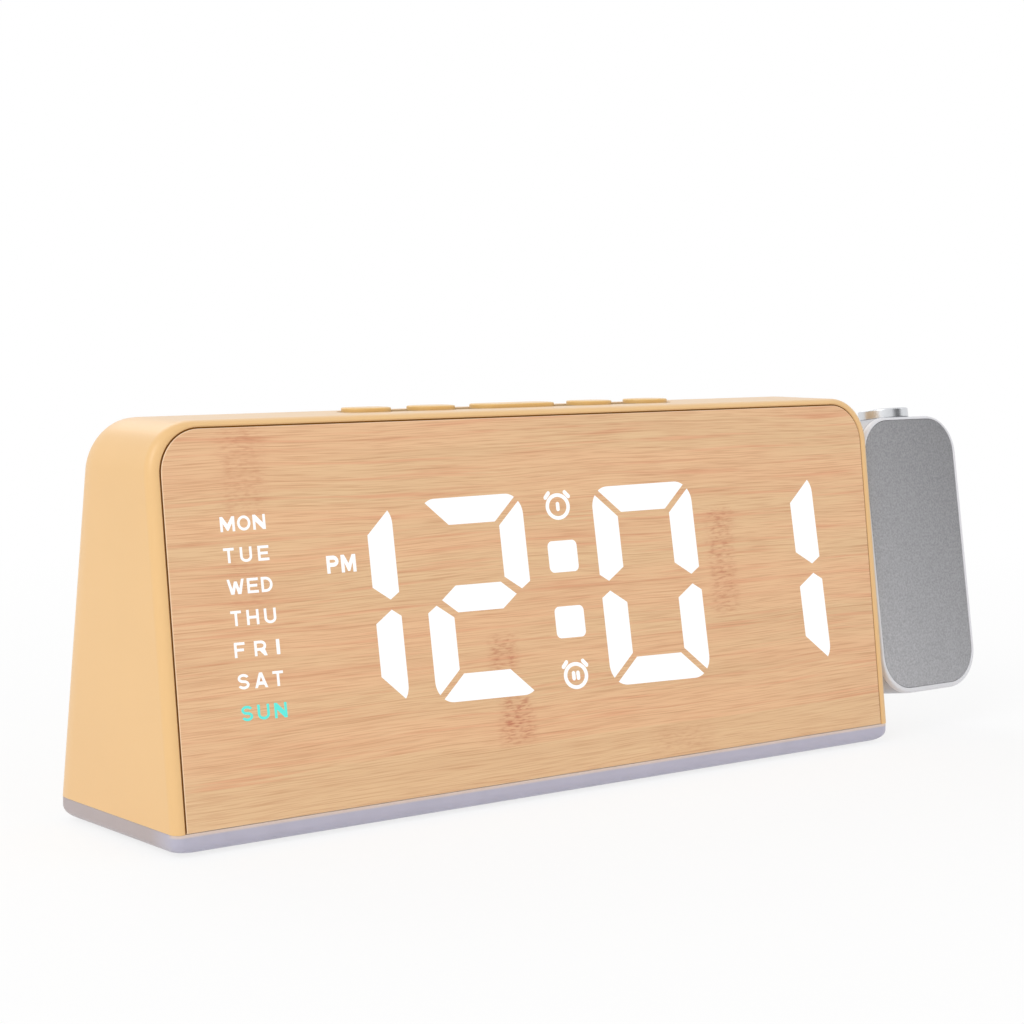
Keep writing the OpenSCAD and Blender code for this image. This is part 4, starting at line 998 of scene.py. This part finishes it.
def screw(place, shank):
    """Solid of a pan-head screw, head up at height 0 and shank below, and its cross recess."""
    r, t, foot = HEAD_RADIUS, HEAD_HEIGHT, -HEAD_HEIGHT - shank
    head = [(0, foot), (SHANK_RADIUS, foot), (SHANK_RADIUS, -t), (r, -t)]
    across, high = HEAD_ROUNDING
    head += [*fillet((r, -high), (r, 0), (r - across, 0), 5), (0, 0)]
    half, arm = CROSS_HALF, CROSS_REACH
    cross = np.array([(arm, half), (half, half), (half, arm), (-half, arm), (-half, half), (-arm, half)])
    cross = np.concatenate([cross, -cross]).T
    recess = [place(*(cross * share), height) for share, height in CROSS_TAPER]
    return loft(turned(head, place, 40)), loft(recess)


class ClockScrews(bpy.types.Operator):
    """Makes the screws that show: behind, underneath and at the projector's back"""

    bl_idname = "clock.screws"
    bl_label = "Screws"

    def execute(self, context):
        b, p = chosen("body"), chosen("projector")
        rear = [shifted(on_rear, x, s) for x, s in cover_screw_places()]
        under = [flipped(upright_at(x, y), base_plate_z()) for x, y in four_places(*BASE_SCREWS)]
        back = [flipped(shifted(on_projector, x, u), -p.depth / 2) for x, u in tub_screw_places()]
        for name, places, shank, node, body in (
            ("cover_screws", rear, 5.8 * MM, "rear_screws", "case"),
            ("foot_screws", under, b.base + 0.8 * MM, "base_screws", "case"),
            ("tub_screws", back, 4.8 * MM, "projector_screws", "projector"),
        ):
            heads, recesses = zip(*(screw(place, shank) for place in places))
            piece(name, heads, "Plated steel", [node], recesses, body)
        return {"FINISHED"}


class ClockBatteryDoor(bpy.types.Operator):
    """Makes the round door of the backup cell, with two lugs below and a coin slot"""

    bl_idname = "clock.battery_door"
    bl_label = "Battery door"

    def execute(self, context):
        place = shifted(on_rear, *BATTERY_AT)
        outline = lugged(DOOR_RADIUS, LUG_REACH, LUG_WIDTH / 2, math.pi / 2)
        under, e = -chosen("body").cover - 0.1 * MM, 0.35 * MM
        lugs = carry(outline, [(0, under - MM), (0, under)], place)
        disc = [(0, under), *fillet((0, -e), (0, 0), (e, 0), 4)]
        disc = carry(circle_like(outline, DOOR_RADIUS), disc, place)
        slot = solid(pill(*COIN_SLOT), flared_cut(-MM, 0, CHAMFER), place)
        door = loft(np.concatenate([lugs, disc]))
        piece("door", [door], "Matt ABS", ["battery_door"], [slot], "battery_door")
        return {"FINISHED"}


class ClockSpeaker(bpy.types.Operator):
    """Makes the speaker that shows through the slots: frame, rolled edge, cone and dust cap"""

    bl_idname = "clock.speaker"
    bl_label = "Speaker"

    def execute(self, context):
        shape = [(radius * MM, height * MM - chosen("body").cover) for radius, height in SPEAKER_SHAPE]
        speaker = loft(turned(shape, shifted(on_rear, *SPEAKER_AT)))
        piece("loudspeaker", [speaker], "Black ABS", ["speaker"])
        return {"FINISHED"}


class ClockKeys(bpy.types.Operator):
    """Makes the five keys, pill caps with a soft crown and a lip under the shell, and the dark lining of painted
    shade in their bed
    """

    bl_idname = "clock.keys"
    bl_label = "Keys"

    def execute(self, context):
        b, k, top = chosen("body"), chosen("keys"), top_z()
        lip_top = top - b.wall - 0.1 * MM
        high, half = top + k.proud - k.crown, k.depth / 2
        profile = [(-k.lip, lip_top - k.lip_t), (-k.lip, lip_top), (0, lip_top)]
        profile += fillet((0, high - k.edge), (0, high), (k.edge, high))
        inset = np.linspace(k.edge, half * CROWN_END, 7)[1:]
        rise = 1 - ((half - inset) / (half - k.edge)) ** 2
        profile += zip(inset, high + k.crown * rise)
        for name, x, w in key_centres():
            cap = solid(pill(w, k.depth), profile, upright_at(middle_x() + x, key_y()))
            piece(name + "_cap", [cap], "Satin ABS", [name], body=name)
        # the lining of painted shade lies 0.01 mm clear of the bed's walls and floor, and its upper edge is eased
        # below the top
        inset, low = 0.01 * MM, top + 0.01 * MM - k.bed
        bed = key_bed([(inset, low), (inset, top - 0.08 * MM), (0.06 * MM, top - 0.03 * MM)])
        piece("key_bed", [bed], "Felt", cuts=key_openings([(0, top - MM), (0, top + MM)]))
        return {"FINISHED"}


class ClockBase(bpy.types.Operator):
    """Makes the translucent base, which narrows to the table, and its rubber feet"""

    bl_idname = "clock.base"
    bl_label = "Night-light base"

    def execute(self, context):
        b = chosen("body")
        low, high, ceiling = b.foot_proud, shell_z(), b.foot_proud + b.base_pocket
        side = fillet((b.taper, low), (0, low), (0, low + BASE_BEND * b.base), 12)
        side += fillet((0, high - 0.12 * MM), (0, high), (0.12 * MM, high), 4)
        at = upright_at(middle_x(), 0.0)
        inner = round_rect(b.width - 2 * b.base_wall, b.depth - 2 * b.base_wall, MM)
        rings = (
            carry(round_rect(b.width, b.depth, b.base_corner, 0.5), side, at),
            carry(round_rect(*BASE_OPENING), [(0, high), (0, ceiling)], at),
            carry(inner, [(0, ceiling), (0, low)], at),
        )
        piece("base_strip", [loft(np.concatenate(rings), through=True)], "Milky acrylic", ["night_light_base"])
        top, r, e = base_plate_z(), b.foot_radius, 0.4 * MM
        foot = [(0, 0), *fillet((r - e, 0), (r, 0), (r, e), 4), (r, top), (0, top)]
        feet = [loft(turned(foot, upright_at(x, y), 48)) for x, y in four_places(*FEET)]
        piece("feet", feet, "Matt rubber", ["rubber_feet"])
        return {"FINISHED"}


# ---- The projector ----


class ClockProjector(bpy.types.Operator):
    """Makes the projector's case: tub, bezel and blasted face plate"""

    bl_idname = "clock.projector"
    bl_label = "Projector case"

    def execute(self, context):
        p = chosen("projector")
        half, e = p.depth / 2, p.back_edge
        line, seam = 0.12 * MM, 0.05 * MM  # bevel and half gap of the parting line
        parting = half - p.bezel
        outline = round_rect(p.width, p.height, p.corner)
        low, high = parting - seam, parting + seam
        tub = [(p.wall, p.wall - half), (p.wall, low), (line, low), (0, low - line)]
        tub += fillet((0, e - half), (0, -half), (e, -half), 8)
        under, deep, out = HEAD_HEIGHT - half, 3 * MM - half, -half - MM
        seat = [(0, out), (SEAT_RADIUS, out), (SEAT_RADIUS, under)]
        seat += [(HOLE_RADIUS, under), (HOLE_RADIUS, deep), (0, deep)]
        cuts = [loft(turned(seat, shifted(on_projector, x, u), 48)) for x, u in tub_screw_places()]
        low, top, r = p.height / 2 - 2 * p.wall, p.height / 2 + MM, NECK_RADIUS + PLAY
        cuts.append(loft(turned([(0, low), (r, low), (r, top), (0, top)], on_lens_axis, 64)))
        bore = [(0, -p.width / 2 - MM), (0, -p.width / 2 + 2 * p.wall)]
        cuts.append(solid(circle(p.hub), bore, on_pivot_axis))
        tub = solid(outline, tub, on_projector)
        piece("projector_case", [tub], "Grey ABS", ["projector_tub"], cuts, "projector")
        plug, rim_high, rim_in = p.wall + seam, 1.2 * MM, 0.5 * MM
        bezel = [(plug, half - p.face - rim_high), (plug, high), (line, high), (0, high + line)]
        bezel += fillet((0, half - rim_high), (0, half), (rim_in, half), 8)
        opening = round_rect(p.width - 2 * p.rim, p.height - 2 * p.rim, p.corner - p.rim)
        raised = shifted(on_projector, 0, p.rise)
        mouth = fillet((-0.15 * MM, half), (0, half), (0, half - 0.3 * MM), 4) + [(0, half - p.face)]
        rim = loft(np.concatenate([carry(outline, bezel, on_projector), carry(opening, mouth, raised)]))
        piece("projector_rim", [rim], "Pearl ABS", ["projector_bezel"], body="projector")
        e, high = 0.15 * MM, half - seam
        face = [(seam, half - p.face), *fillet((seam, high - e), (seam, high), (seam + e, high), 3)]
        plate = solid(opening, face, raised)
        piece("projector_plate", [plate], "Blasted aluminium", ["projector_face"], body="projector")
        return {"FINISHED"}


class ClockOptics(bpy.types.Operator):
    """Turns the focus ring, the lens cell and the projection lens"""

    bl_idname = "clock.optics"
    bl_label = "Focus ring and lens"

    def execute(self, context):
        p = chosen("projector")
        top, r, neck = p.height / 2, p.ring_radius, NECK_RADIUS
        low, high, foot = top + 0.1 * MM, top + p.ring_height, top - 6.5 * MM
        bore, e, ease, bevel = p.cell_radius + PLAY, 0.35 * MM, 0.3 * MM, 0.15 * MM
        ring = [(neck, foot), (neck, low), (r - bevel, low), (r, low + bevel)]
        ring += fillet((r, high - e), (r, high), (r - e, high), 5)
        ring += [*fillet((bore + ease, high), (bore, high), (bore, high - ease), 4), (bore, foot)]
        ring = loft(turned(ring, on_lens_axis), through=True)
        piece("focus_grip", [ring], "Chrome plate", ["focus_ring"], body="focus_ring")
        # the cell's ends along the axis, from the box of its leaning cylinder
        box_low, box_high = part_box("lens_cell")
        reach, z0 = p.cell_radius * math.sin(p.lean), on_projector(0.0, 0.0, 0.0)[2]
        low, high = (box_low[2] + reach - z0) / math.cos(p.lean), (box_high[2] - reach - z0) / math.cos(p.lean)
        r, lens_r, bevel = p.cell_radius, p.lens_radius, 0.2 * MM
        cell = [(r, low), (r, high - bevel), (r - bevel, high)]
        cell += [(lens_r + ease, high), (lens_r, high - ease), (lens_r, low)]
        cell = loft(turned(cell, on_lens_axis, 64), through=True)
        piece("lens_holder", [cell], "Black ABS", ["lens_cell"], body="lens_cell")
        # both faces of the lens bulge as a ball does: sqrt(ball² - radius²) - ball + half its thickness
        mid, ball, thick = (low + high) / 2, 5 * MM, 3 * MM
        radius = np.linspace(0, lens_r - PLAY, 12)
        bulge = np.sqrt(ball**2 - radius**2) - ball + thick / 2
        lens = [*zip(radius, mid - bulge), *zip(radius[::-1], mid + bulge[::-1])]
        lens = loft(turned(lens, on_lens_axis, 64))
        piece("front_lens", [lens], "Optical glass", ["projection_lens"], body="lens_cell")
        return {"FINISHED"}


# ---- The lit figures ----

# places in the display's own layout are in millimetres, from its middle and up from its foot
TIME = "1201"
DIGIT_MIDDLES = (-55.40, -21.02, 25.29, 59.76)
COLON_AT = ((2.23, 28.32), (2.23, 14.40))
COLON_DOT = (7.8 * MM, 6.7 * MM, 1.2 * MM)  # width, height and corner radius
BELLS_AT = ((2.22, 38.95, 1), (2.22, 3.00, 2))  # across, up and number of strokes
BELL_RADIUS, BELL_RING, BELL_STRETCH = 2.85 * MM, 0.8 * MM, 1.14
EAR_SIZE, EAR_AT = (2.2 * MM, 0.9 * MM), (2.65 * MM, 2.5 * MM)
STROKE_SIZE, STROKE_PITCH = (2.0 * MM, 0.93 * MM), 1.2 * MM
WEEKDAYS = ("SUN", "SAT", "FRI", "THU", "WED", "TUE", "MON")
WEEKDAY_MIDDLE, WEEKDAY_LEAN, WEEKDAY_WIDTH = -78.15, -0.025, 11.2
WEEKDAY_LOW, WEEKDAY_PITCH = 1.95, 6.4
HALF_DAY = (("P", -59.3, 3.05), ("M", -55.65, 3.75))  # left edge and width
HALF_DAY_LOW, HALF_DAY_HEIGHT, HALF_DAY_WEIGHT = 28.66, 3.66, 1.3
LEVEL_STROKE = 0.18  # a capital's level strokes, as a share of its height
WINDOW_DEPTH = 0.2 * MM  # how deep a window sits in the veneer
# the blunt tip of an upright bar: distance from its outer line and height of two corners, and height of the third
BAR_TIP = ((0, 2.48 * MM), (2.33 * MM, 1.05 * MM))
BAR_SHOULDER = 3.78 * MM
MIDDLE_TIP, MIDDLE_SHOULDER = 9.82 * MM, 5.94 * MM  # of the middle bar, across from the digit's middle
LIT_BARS = {
    "0": ("top", "bottom", "upper right", "lower right", "upper left", "lower left"),
    "1": ("upper right", "lower right"),
    "2": ("top", "upper right", "middle", "lower left", "bottom"),
}
# natural width of each capital, at a height of 3.09
CAPITALS = {"A": 3.2, "D": 2.8, "E": 2.75, "F": 2.6, "H": 3.0, "I": 0.85, "M": 3.6, "N": 3.1, "O": 3.3}
CAPITALS |= {"P": 2.8, "R": 3.1, "S": 2.75, "T": 2.6, "U": 2.95, "W": 4.2}


def on_display(u, v, n):
    """The display's own layout on the front face: x = (u - 0.04347 v) / k and s = (v - 0.03519 u + 17.21) / k, with
    k = 1 - 0.00073 u + 0.00025 v, in millimetres. The display stands a little askew in the case."""
    u, v = np.asarray(u) / MM, np.asarray(v) / MM
    k = 1 - 0.00073 * u + 0.00025 * v
    x, s = (u - 0.04347 * v) / k, (v - 0.03519 * u + 17.21) / k
    return on_front(x * MM, s * MM, n)


def window(outline, place=on_display):
    """Solid of one lit window, just proud of the veneer."""
    return solid(outline, [(0, -WINDOW_DEPTH), (0, chosen("figures").proud)], place)


def oval(x, y, rx, ry, start, end, steps=None):
    """Points of an elliptical arc, (x + rx cos a, y + ry sin a), about every 15 degrees; angles in degrees."""
    a = np.radians(np.linspace(start, end, (steps or max(int(abs(end - start) / 15), 2)) + 1))
    return list(zip(x + rx * np.cos(a), y + ry * np.sin(a)))


def mitre():
    """Slope of the cut between a digit's level and upright bars, and half of the gap there, measured upright."""
    f = chosen("figures")
    slope = f.level / f.upright
    return slope, f.bar_gap / 2 * math.hypot(1, slope)


def bar_corner(side, end):
    """Points of a digit's rounded upper right corner, from a mitre's line to an angle in degrees. About the
    rounding's middle the line is y = slope x + c, with c = r (1 - slope) plus half the gap to one side, and it meets
    the circle where (1 + slope²) x² + 2 slope c x + c² - r² = 0."""
    f = chosen("figures")
    r, (slope, half_gap) = f.bar_round, mitre()
    c = r * (1 - slope) + side * half_gap
    square = 1 + slope**2
    x = (-slope * c + math.sqrt((slope * c) ** 2 - square * (c**2 - r**2))) / square
    start = math.degrees(math.atan2(slope * x + c, x))
    return oval(f.digit_w / 2 - r, f.digit_h / 2 - r, r, r, start, end, 5)


def upright_bar():
    """Outline of the upper right bar of a digit about its middle: mitred above, with a blunt tip at mid-height."""
    f = chosen("figures")
    side = f.digit_w / 2
    inner = side - f.upright
    inner_y = f.digit_h / 2 - mitre()[1] - f.level
    tip = [(side - off, y) for off, y in BAR_TIP]
    return np.array([*bar_corner(-1, 0), *tip, (inner, BAR_SHOULDER), (inner, inner_y)])


def level_bar():
    """Outline of the top bar of a digit about its middle, mitred at both ends."""
    f = chosen("figures")
    slope, half_gap = mitre()
    inner = (f.digit_w / 2 - half_gap / slope - f.upright, f.digit_h / 2 - f.level)
    right = np.array([inner, *bar_corner(1, 90)])
    return np.concatenate([right, right[::-1] * (-1, 1)])


def middle_bar():
    """Outline of the middle bar of a digit: a flat hexagon."""
    half = chosen("figures").middle / 2
    right = np.array([(MIDDLE_SHOULDER, -half), (MIDDLE_TIP, 0), (MIDDLE_SHOULDER, half)])
    return np.concatenate([right, -right])


def digit_bars(figure):
    """Outlines of the lit bars of a figure."""
    level, upright = level_bar(), upright_bar()
    bars = {
        "top": level,
        "bottom": level * (1, -1),
        "middle": middle_bar(),
        "upper right": upright,
        "lower right": upright * (1, -1),
        "upper left": upright * (-1, 1),
        "lower left": upright * (-1, -1),
    }
    return [bars[name] for name in LIT_BARS[figure]]


def capital(character, t, b):
    """Outline of a bold capital in a unit square, and of its hole if it has one: its stem takes t of the width, its
    level strokes b of the height."""
    low, high, far = 0.5 - b / 2, 0.5 + b / 2, 1 - t
    rx, ry, lift = (1 - t) / 2, (1 - b) / 4, (1 - b) / 4
    upper_arm = [(t, low), (0.9, low), (0.9, high), (t, high), (t, 1 - b), (1, 1 - b), (1, 1), (0, 1)]
    shapes = {
        "A": [(0, 0), (t, 0), (0.29, 0.19), (0.71, 0.19), (far, 0), (1, 0), (0.5 + 0.6 * t, 1), (0.5 - 0.6 * t, 1)],
        "D": [(0, 0), *oval(0.4, 0.5, 0.6, 0.5, -90, 90), (0, 1)],
        "E": [(0, 0), (1, 0), (1, b), (t, b), *upper_arm],
        "F": [(0, 0), (t, 0), *upper_arm],
        "H": [(0, 0), (t, 0), (t, low), (far, low), (far, 0), (1, 0)]
        + [(1, 1), (far, 1), (far, high), (t, high), (t, 1), (0, 1)],
        "I": [(0, 0), (1, 0), (1, 1), (0, 1)],
        "M": [(0, 0), (t, 0), (t, 0.56), (0.5 - 0.3 * t, 0.06), (0.5 + 0.3 * t, 0.06), (far, 0.56), (far, 0)]
        + [(1, 0), (1, 1), (1 - 1.1 * t, 1), (0.5, 0.5), (1.1 * t, 1), (0, 1)],
        "N": [(0, 0), (t, 0), (t, 0.56), (1 - 1.1 * t, 0), (1, 0)]
        + [(1, 1), (far, 1), (far, 0.44), (1.1 * t, 1), (0, 1)],
        "O": oval(0.5, 0.5, 0.5, 0.5, 0, 345),
        "P": [(0, 0), (t, 0), (t, 0.36), *oval(0.55, 0.68, 0.45, 0.32, -90, 90), (0, 1)],
        "R": [(0, 0), (t, 0), (t, 0.34), (0.42, 0.34), (1 - 1.15 * t, 0), (1, 0)]
        + [*oval(0.55, 0.67, 0.4, 0.33, -45, 90), (0, 1)],
        "S": [
            *oval(0.5, 0.5 + lift, rx + t / 2, ry + b / 2, 20, 270),
            *oval(0.5, 0.5 - lift, rx - t / 2, ry - b / 2, 90, -160),
            *oval(0.5, 0.5 - lift, rx + t / 2, ry + b / 2, -160, 90),
            *oval(0.5, 0.5 + lift, rx - t / 2, ry - b / 2, 270, 20),
        ],
        "T": [(0.5 - t / 2, 0), (0.5 + t / 2, 0), (0.5 + t / 2, 1 - b), (1, 1 - b)]
        + [(1, 1), (0, 1), (0, 1 - b), (0.5 - t / 2, 1 - b)],
        "U": [(0, 1), *oval(0.5, 0.36, 0.5, 0.36, 180, 360), (1, 1), (far, 1)]
        + [*oval(0.5, 0.36, 0.5 - t, 0.36 - b, 360, 180), (t, 1)],
        "W": [(0, 1), (t, 1), (0.3, 0.36), (0.42, 0.85), (0.58, 0.85), (0.7, 0.36), (far, 1), (1, 1)]
        + [(0.8, 0), (0.61, 0), (0.5, 0.5), (0.39, 0), (0.2, 0)],
    }
    holes = {
        "A": [(0.38, 0.41), (0.62, 0.41), (0.5, 0.74)],
        "D": [(t, b), *oval(0.4, 0.5, 0.6 - t, 0.5 - b, -90, 90), (t, 1 - b)],
        "O": oval(0.5, 0.5, 0.5 - t, 0.5 - b, 0, 345),
        "P": [(t, 0.36 + b), *oval(0.55, 0.68, 0.45 - t, 0.32 - b, -90, 90), (t, 1 - b)],
        "R": [(t, 0.34 + b), *oval(0.5, 0.67, 0.45 - t, 0.33 - b, -90, 90), (t, 1 - b)],
    }
    return shapes[character], holes.get(character)


def written(character, left, low, width, height, weight=1.0):
    """Solids of a capital and, if it has one, of its hole, at a place in the display's layout, in millimetres."""
    stem = weight * chosen("figures").stem / MM / width
    outline, hole = (
        polygon((np.array(points) * (width, height) + (left, low)) * MM) if points else None
        for points in capital(character, stem, weight * LEVEL_STROKE)
    )
    solids = [window(outline)]
    if hole:
        solids.append(solid(hole, [(0, -0.1 * MM - WINDOW_DEPTH), (0, MM)], on_display))
    return solids


class ClockDigits(bpy.types.Operator):
    """Lights the four digits and the colon"""

    bl_idname = "clock.digits"
    bl_label = "Digits"

    def execute(self, context):
        half = chosen("figures").digit_h / 2
        digits = [
            window(polygon(bar + (mid * MM, half)))
            for figure, mid in zip(TIME, DIGIT_MIDDLES)
            for bar in digit_bars(figure)
        ]
        piece("digits", digits, "White window")
        dots = [window(round_rect(*COLON_DOT), shifted(on_display, u * MM, v * MM)) for u, v in COLON_AT]
        piece("colon", dots, "White window")
        return {"FINISHED"}


class ClockMarks(bpy.types.Operator):
    """Lights the marks of the two alarms: a bell clock with one or two strokes in it"""

    bl_idname = "clock.marks"
    bl_label = "Alarm marks"

    def execute(self, context):
        proud = chosen("figures").proud
        ring = [(0, -WINDOW_DEPTH), (0, proud), (BELL_RING, proud), (BELL_RING, -WINDOW_DEPTH)]
        parts = []
        for u, v, strokes in BELLS_AT:
            place = shifted(on_display, u * MM, v * MM)
            clock = carry(circle(BELL_RADIUS, 48), ring, lambda x, y, n: place(BELL_STRETCH * x, y, n))
            parts.append(loft(clock, through=True))
            for side in (-1, 1):
                cos, sin = math.cos(math.pi / 4), -side * math.sin(math.pi / 4)
                ear = np.array([[cos, -sin], [sin, cos]]) @ pill(*EAR_SIZE)(0)
                parts.append(window(polygon(ear.T + (side * EAR_AT[0], EAR_AT[1])), place))
            for i in range(strokes):
                stroke = pill(*STROKE_SIZE)(0)[::-1].T + ((i - (strokes - 1) / 2) * STROKE_PITCH, 0)
                parts.append(window(polygon(stroke), place))
        piece("alarm_marks", parts, "White window")
        return {"FINISHED"}


class ClockLetters(bpy.types.Operator):
    """Lights the weekday names and the half-day mark"""

    bl_idname = "clock.letters"
    bl_label = "Letters"

    def execute(self, context):
        high = chosen("figures").cap_height / MM
        today, others = [], []
        for i, word in enumerate(WEEKDAYS):
            middle = WEEKDAY_LOW + i * WEEKDAY_PITCH
            gap = (WEEKDAY_WIDTH - sum(CAPITALS[c] for c in word)) / (len(word) - 1)
            left = WEEKDAY_MIDDLE + WEEKDAY_LEAN * middle - WEEKDAY_WIDTH / 2
            for c in word:
                letter = written(c, left, middle - high / 2, CAPITALS[c], high)
                (others if i else today).append(letter)
                left += CAPITALS[c] + gap
        for c, left, width in HALF_DAY:
            others.append(written(c, left, HALF_DAY_LOW, width, HALF_DAY_HEIGHT, HALF_DAY_WEIGHT))
        for name, letters, light in (
            ("letters", others, "White window"),
            ("letters_today", today, "Blue-green window"),
        ):
            holes = [hole for _, *rest in letters for hole in rest]
            piece(name, [outline for outline, *_ in letters], light, cuts=holes)
        return {"FINISHED"}


# ---- What stays as the frame has it ----


class ClockInside(bpy.types.Operator):
    """Gives the pieces that keep the frame's own shape their finishes"""

    bl_idname = "clock.inside"
    bl_label = "Inner pieces"

    def execute(self, context):
        for name, nodes in NODE_FINISHES.items():
            for node in nodes:
                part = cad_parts[node]
                if not part.material_slots:
                    part.data.materials.append(finish(name))
                for slot in part.material_slots:
                    slot.material = finish(name)
        return {"FINISHED"}


# ---- Studio ----

AMBIENT = 0.69
WHITE = (1, 1, 1, 1)
FLOOR_RADII = (0.0, 0.5, 1.5, 4.0, 9.0)
LAMP_AIM = Vector((0, 0, 0.04))
# place, size and power of each lamp
LAMPS = {
    "key lamp": ((-1.3, -0.65, 1.1), 1.0, 8.9),
    "fill lamp": ((1.2, -1.3, 0.9), 1.2, 2.0),
    "rear lamp": ((0.2, 1.3, 1.2), 1.0, 4.0),
}
CARD_AT, CARD_RADIUS = (0.5, -0.95), 0.36
CAMERA_AT = (-0.31776, -0.38783, 0.10029)
CAMERA_YAW, CAMERA_PITCH, CAMERA_ROLL = math.radians(37.92), math.radians(4.971), math.radians(-0.04)
CAMERA_LENS = 80.89


def seen_directly(owner):
    """1 for rays from the camera, in reflections and through glass, 0 for light on matt surfaces."""
    ray = add(owner, "LightPath", out=None)
    seen = add(owner, "Math", (ray["Is Camera Ray"], ray["Is Glossy Ray"]), operation="MAXIMUM")
    return add(owner, "Math", (seen, ray["Is Transmission Ray"]), operation="MAXIMUM")


def floor_material():
    """White card: mostly its own white where it is seen, and a part that takes the object's shadow."""
    made, node, place = new_material("White card")
    grain = node("TexNoise", {"Vector": place, "Scale": 1 / (3 * MM)})
    card = node("BsdfDiffuse", {"Color": node("MapRange", (grain, 0.0, 1.0, 0.96, 0.98))})
    glow = node("Emission", {"Color": WHITE, "Strength": 1.0})
    away = node("VectorMath", (place,), out="Value", operation="LENGTH")
    share = node("MapRange", (away, 0.12, 0.5, 0.8, 1.0))
    share = node("Math", (seen_directly(made), share), operation="MULTIPLY")
    node("OutputMaterial", {"Surface": node("MixShader", (share, card, glow))}, out=None)
    return made


def surroundings():
    """White surroundings for the camera and for reflections, and a softer light on the object."""
    world = bpy.data.worlds.new("studio")
    world.use_nodes = True
    world.node_tree.nodes.clear()
    level = add(world, "MapRange", (seen_directly(world), 0.0, 1.0, AMBIENT, 1.0))
    light = add(world, "Background", {"Color": WHITE, "Strength": level})
    add(world, "OutputWorld", {"Surface": light}, out=None)
    return world


class ClockStage(bpy.types.Operator):
    """Sets up the pale floor, the soft lamps, the surroundings and the camera"""

    bl_idname = "clock.stage"
    bl_label = "Studio"

    def execute(self, context):
        scene = context.scene
        scene.view_settings.view_transform = "Standard"
        scene.world = surroundings()
        # the rings' two end faces are left out: one would be a point, and the other a second floor
        points, faces = loft(turned([(r, 0.0) for r in FLOOR_RADII], upright_at(0.0, 0.0), 64))
        ground = new_object("floor", [(points, faces[:-2])])
        ground.data.materials.append(floor_material())
        for name, (place, size, power) in LAMPS.items():
            light = bpy.data.lights.new(name, "AREA")
            light.shape, light.size, light.energy = "DISK", size, power
            lamp = bpy.data.objects.new(name, light)
            lamp.location = place
            lamp.rotation_euler = (LAMP_AIM - Vector(place)).to_track_quat("-Z", "Y").to_euler()
            scene.collection.objects.link(lamp)
        # a dark round post beside the camera, which only reflections show
        card = turned([(CARD_RADIUS, -0.5), (CARD_RADIUS, 0.5)], upright_at(*CARD_AT), 32)
        flag = new_object("dark_card", [loft(card)])
        flag.data.materials.append(finish("Black ABS"))
        flag.visible_camera = flag.visible_diffuse = flag.visible_shadow = flag.visible_transmission = False
        lens = bpy.data.cameras.new("camera")
        lens.lens, lens.clip_end = CAMERA_LENS, 30
        camera = bpy.data.objects.new("camera", lens)
        level = math.cos(CAMERA_PITCH)
        ahead = Vector((math.sin(CAMERA_YAW) * level, math.cos(CAMERA_YAW) * level, -math.sin(CAMERA_PITCH)))
        turn = ahead.to_track_quat("-Z", "Y").to_matrix().to_4x4() @ Matrix.Rotation(CAMERA_ROLL, 4, "Z")
        camera.matrix_world = Matrix.Translation(CAMERA_AT) @ turn
        scene.collection.objects.link(camera)
        scene.camera = camera
        return {"FINISHED"}


# ---- Add-on ----

OPERATORS = (
    ClockStage,
    ClockShell,
    ClockVeneer,
    ClockRearCover,
    ClockScrews,
    ClockBatteryDoor,
    ClockSpeaker,
    ClockKeys,
    ClockBase,
    ClockProjector,
    ClockOptics,
    ClockDigits,
    ClockMarks,
    ClockLetters,
    ClockInside,
)


class ClockPanel(bpy.types.Panel):
    """Lists the clock's sizes, colours and pieces"""

    bl_idname = "VIEW3D_PT_clock"
    bl_label = "Projection alarm clock"
    bl_space_type = "VIEW_3D"
    bl_region_type = "UI"
    bl_category = "Clock"

    def draw(self, context):
        for name, group in GROUPS.items():
            box = self.layout.box()
            box.label(text=group.__doc__)
            for value in group.__annotations__:
                box.prop(getattr(context.scene, name), value)
        for operator in OPERATORS:
            self.layout.operator(operator.bl_idname)


def register():
    """Adds the groups, operators and panel to Blender."""
    for name, group in GROUPS.items():
        bpy.utils.register_class(group)
        setattr(bpy.types.Scene, name, PointerProperty(type=group))
    for kind in (*OPERATORS, ClockPanel):
        bpy.utils.register_class(kind)


def unregister():
    """Takes them out again."""
    for kind in (ClockPanel, *reversed(OPERATORS)):
        bpy.utils.unregister_class(kind)
    for name, group in reversed(GROUPS.items()):
        delattr(bpy.types.Scene, name)
        bpy.utils.unregister_class(group)


def main():
    """Makes the stage and every piece."""
    register()
    for operator in OPERATORS:
        module, name = operator.bl_idname.split(".")
        getattr(getattr(bpy.ops, module), name)()
    bpy.context.view_layer.update()


if __name__ == "__main__":
    main()
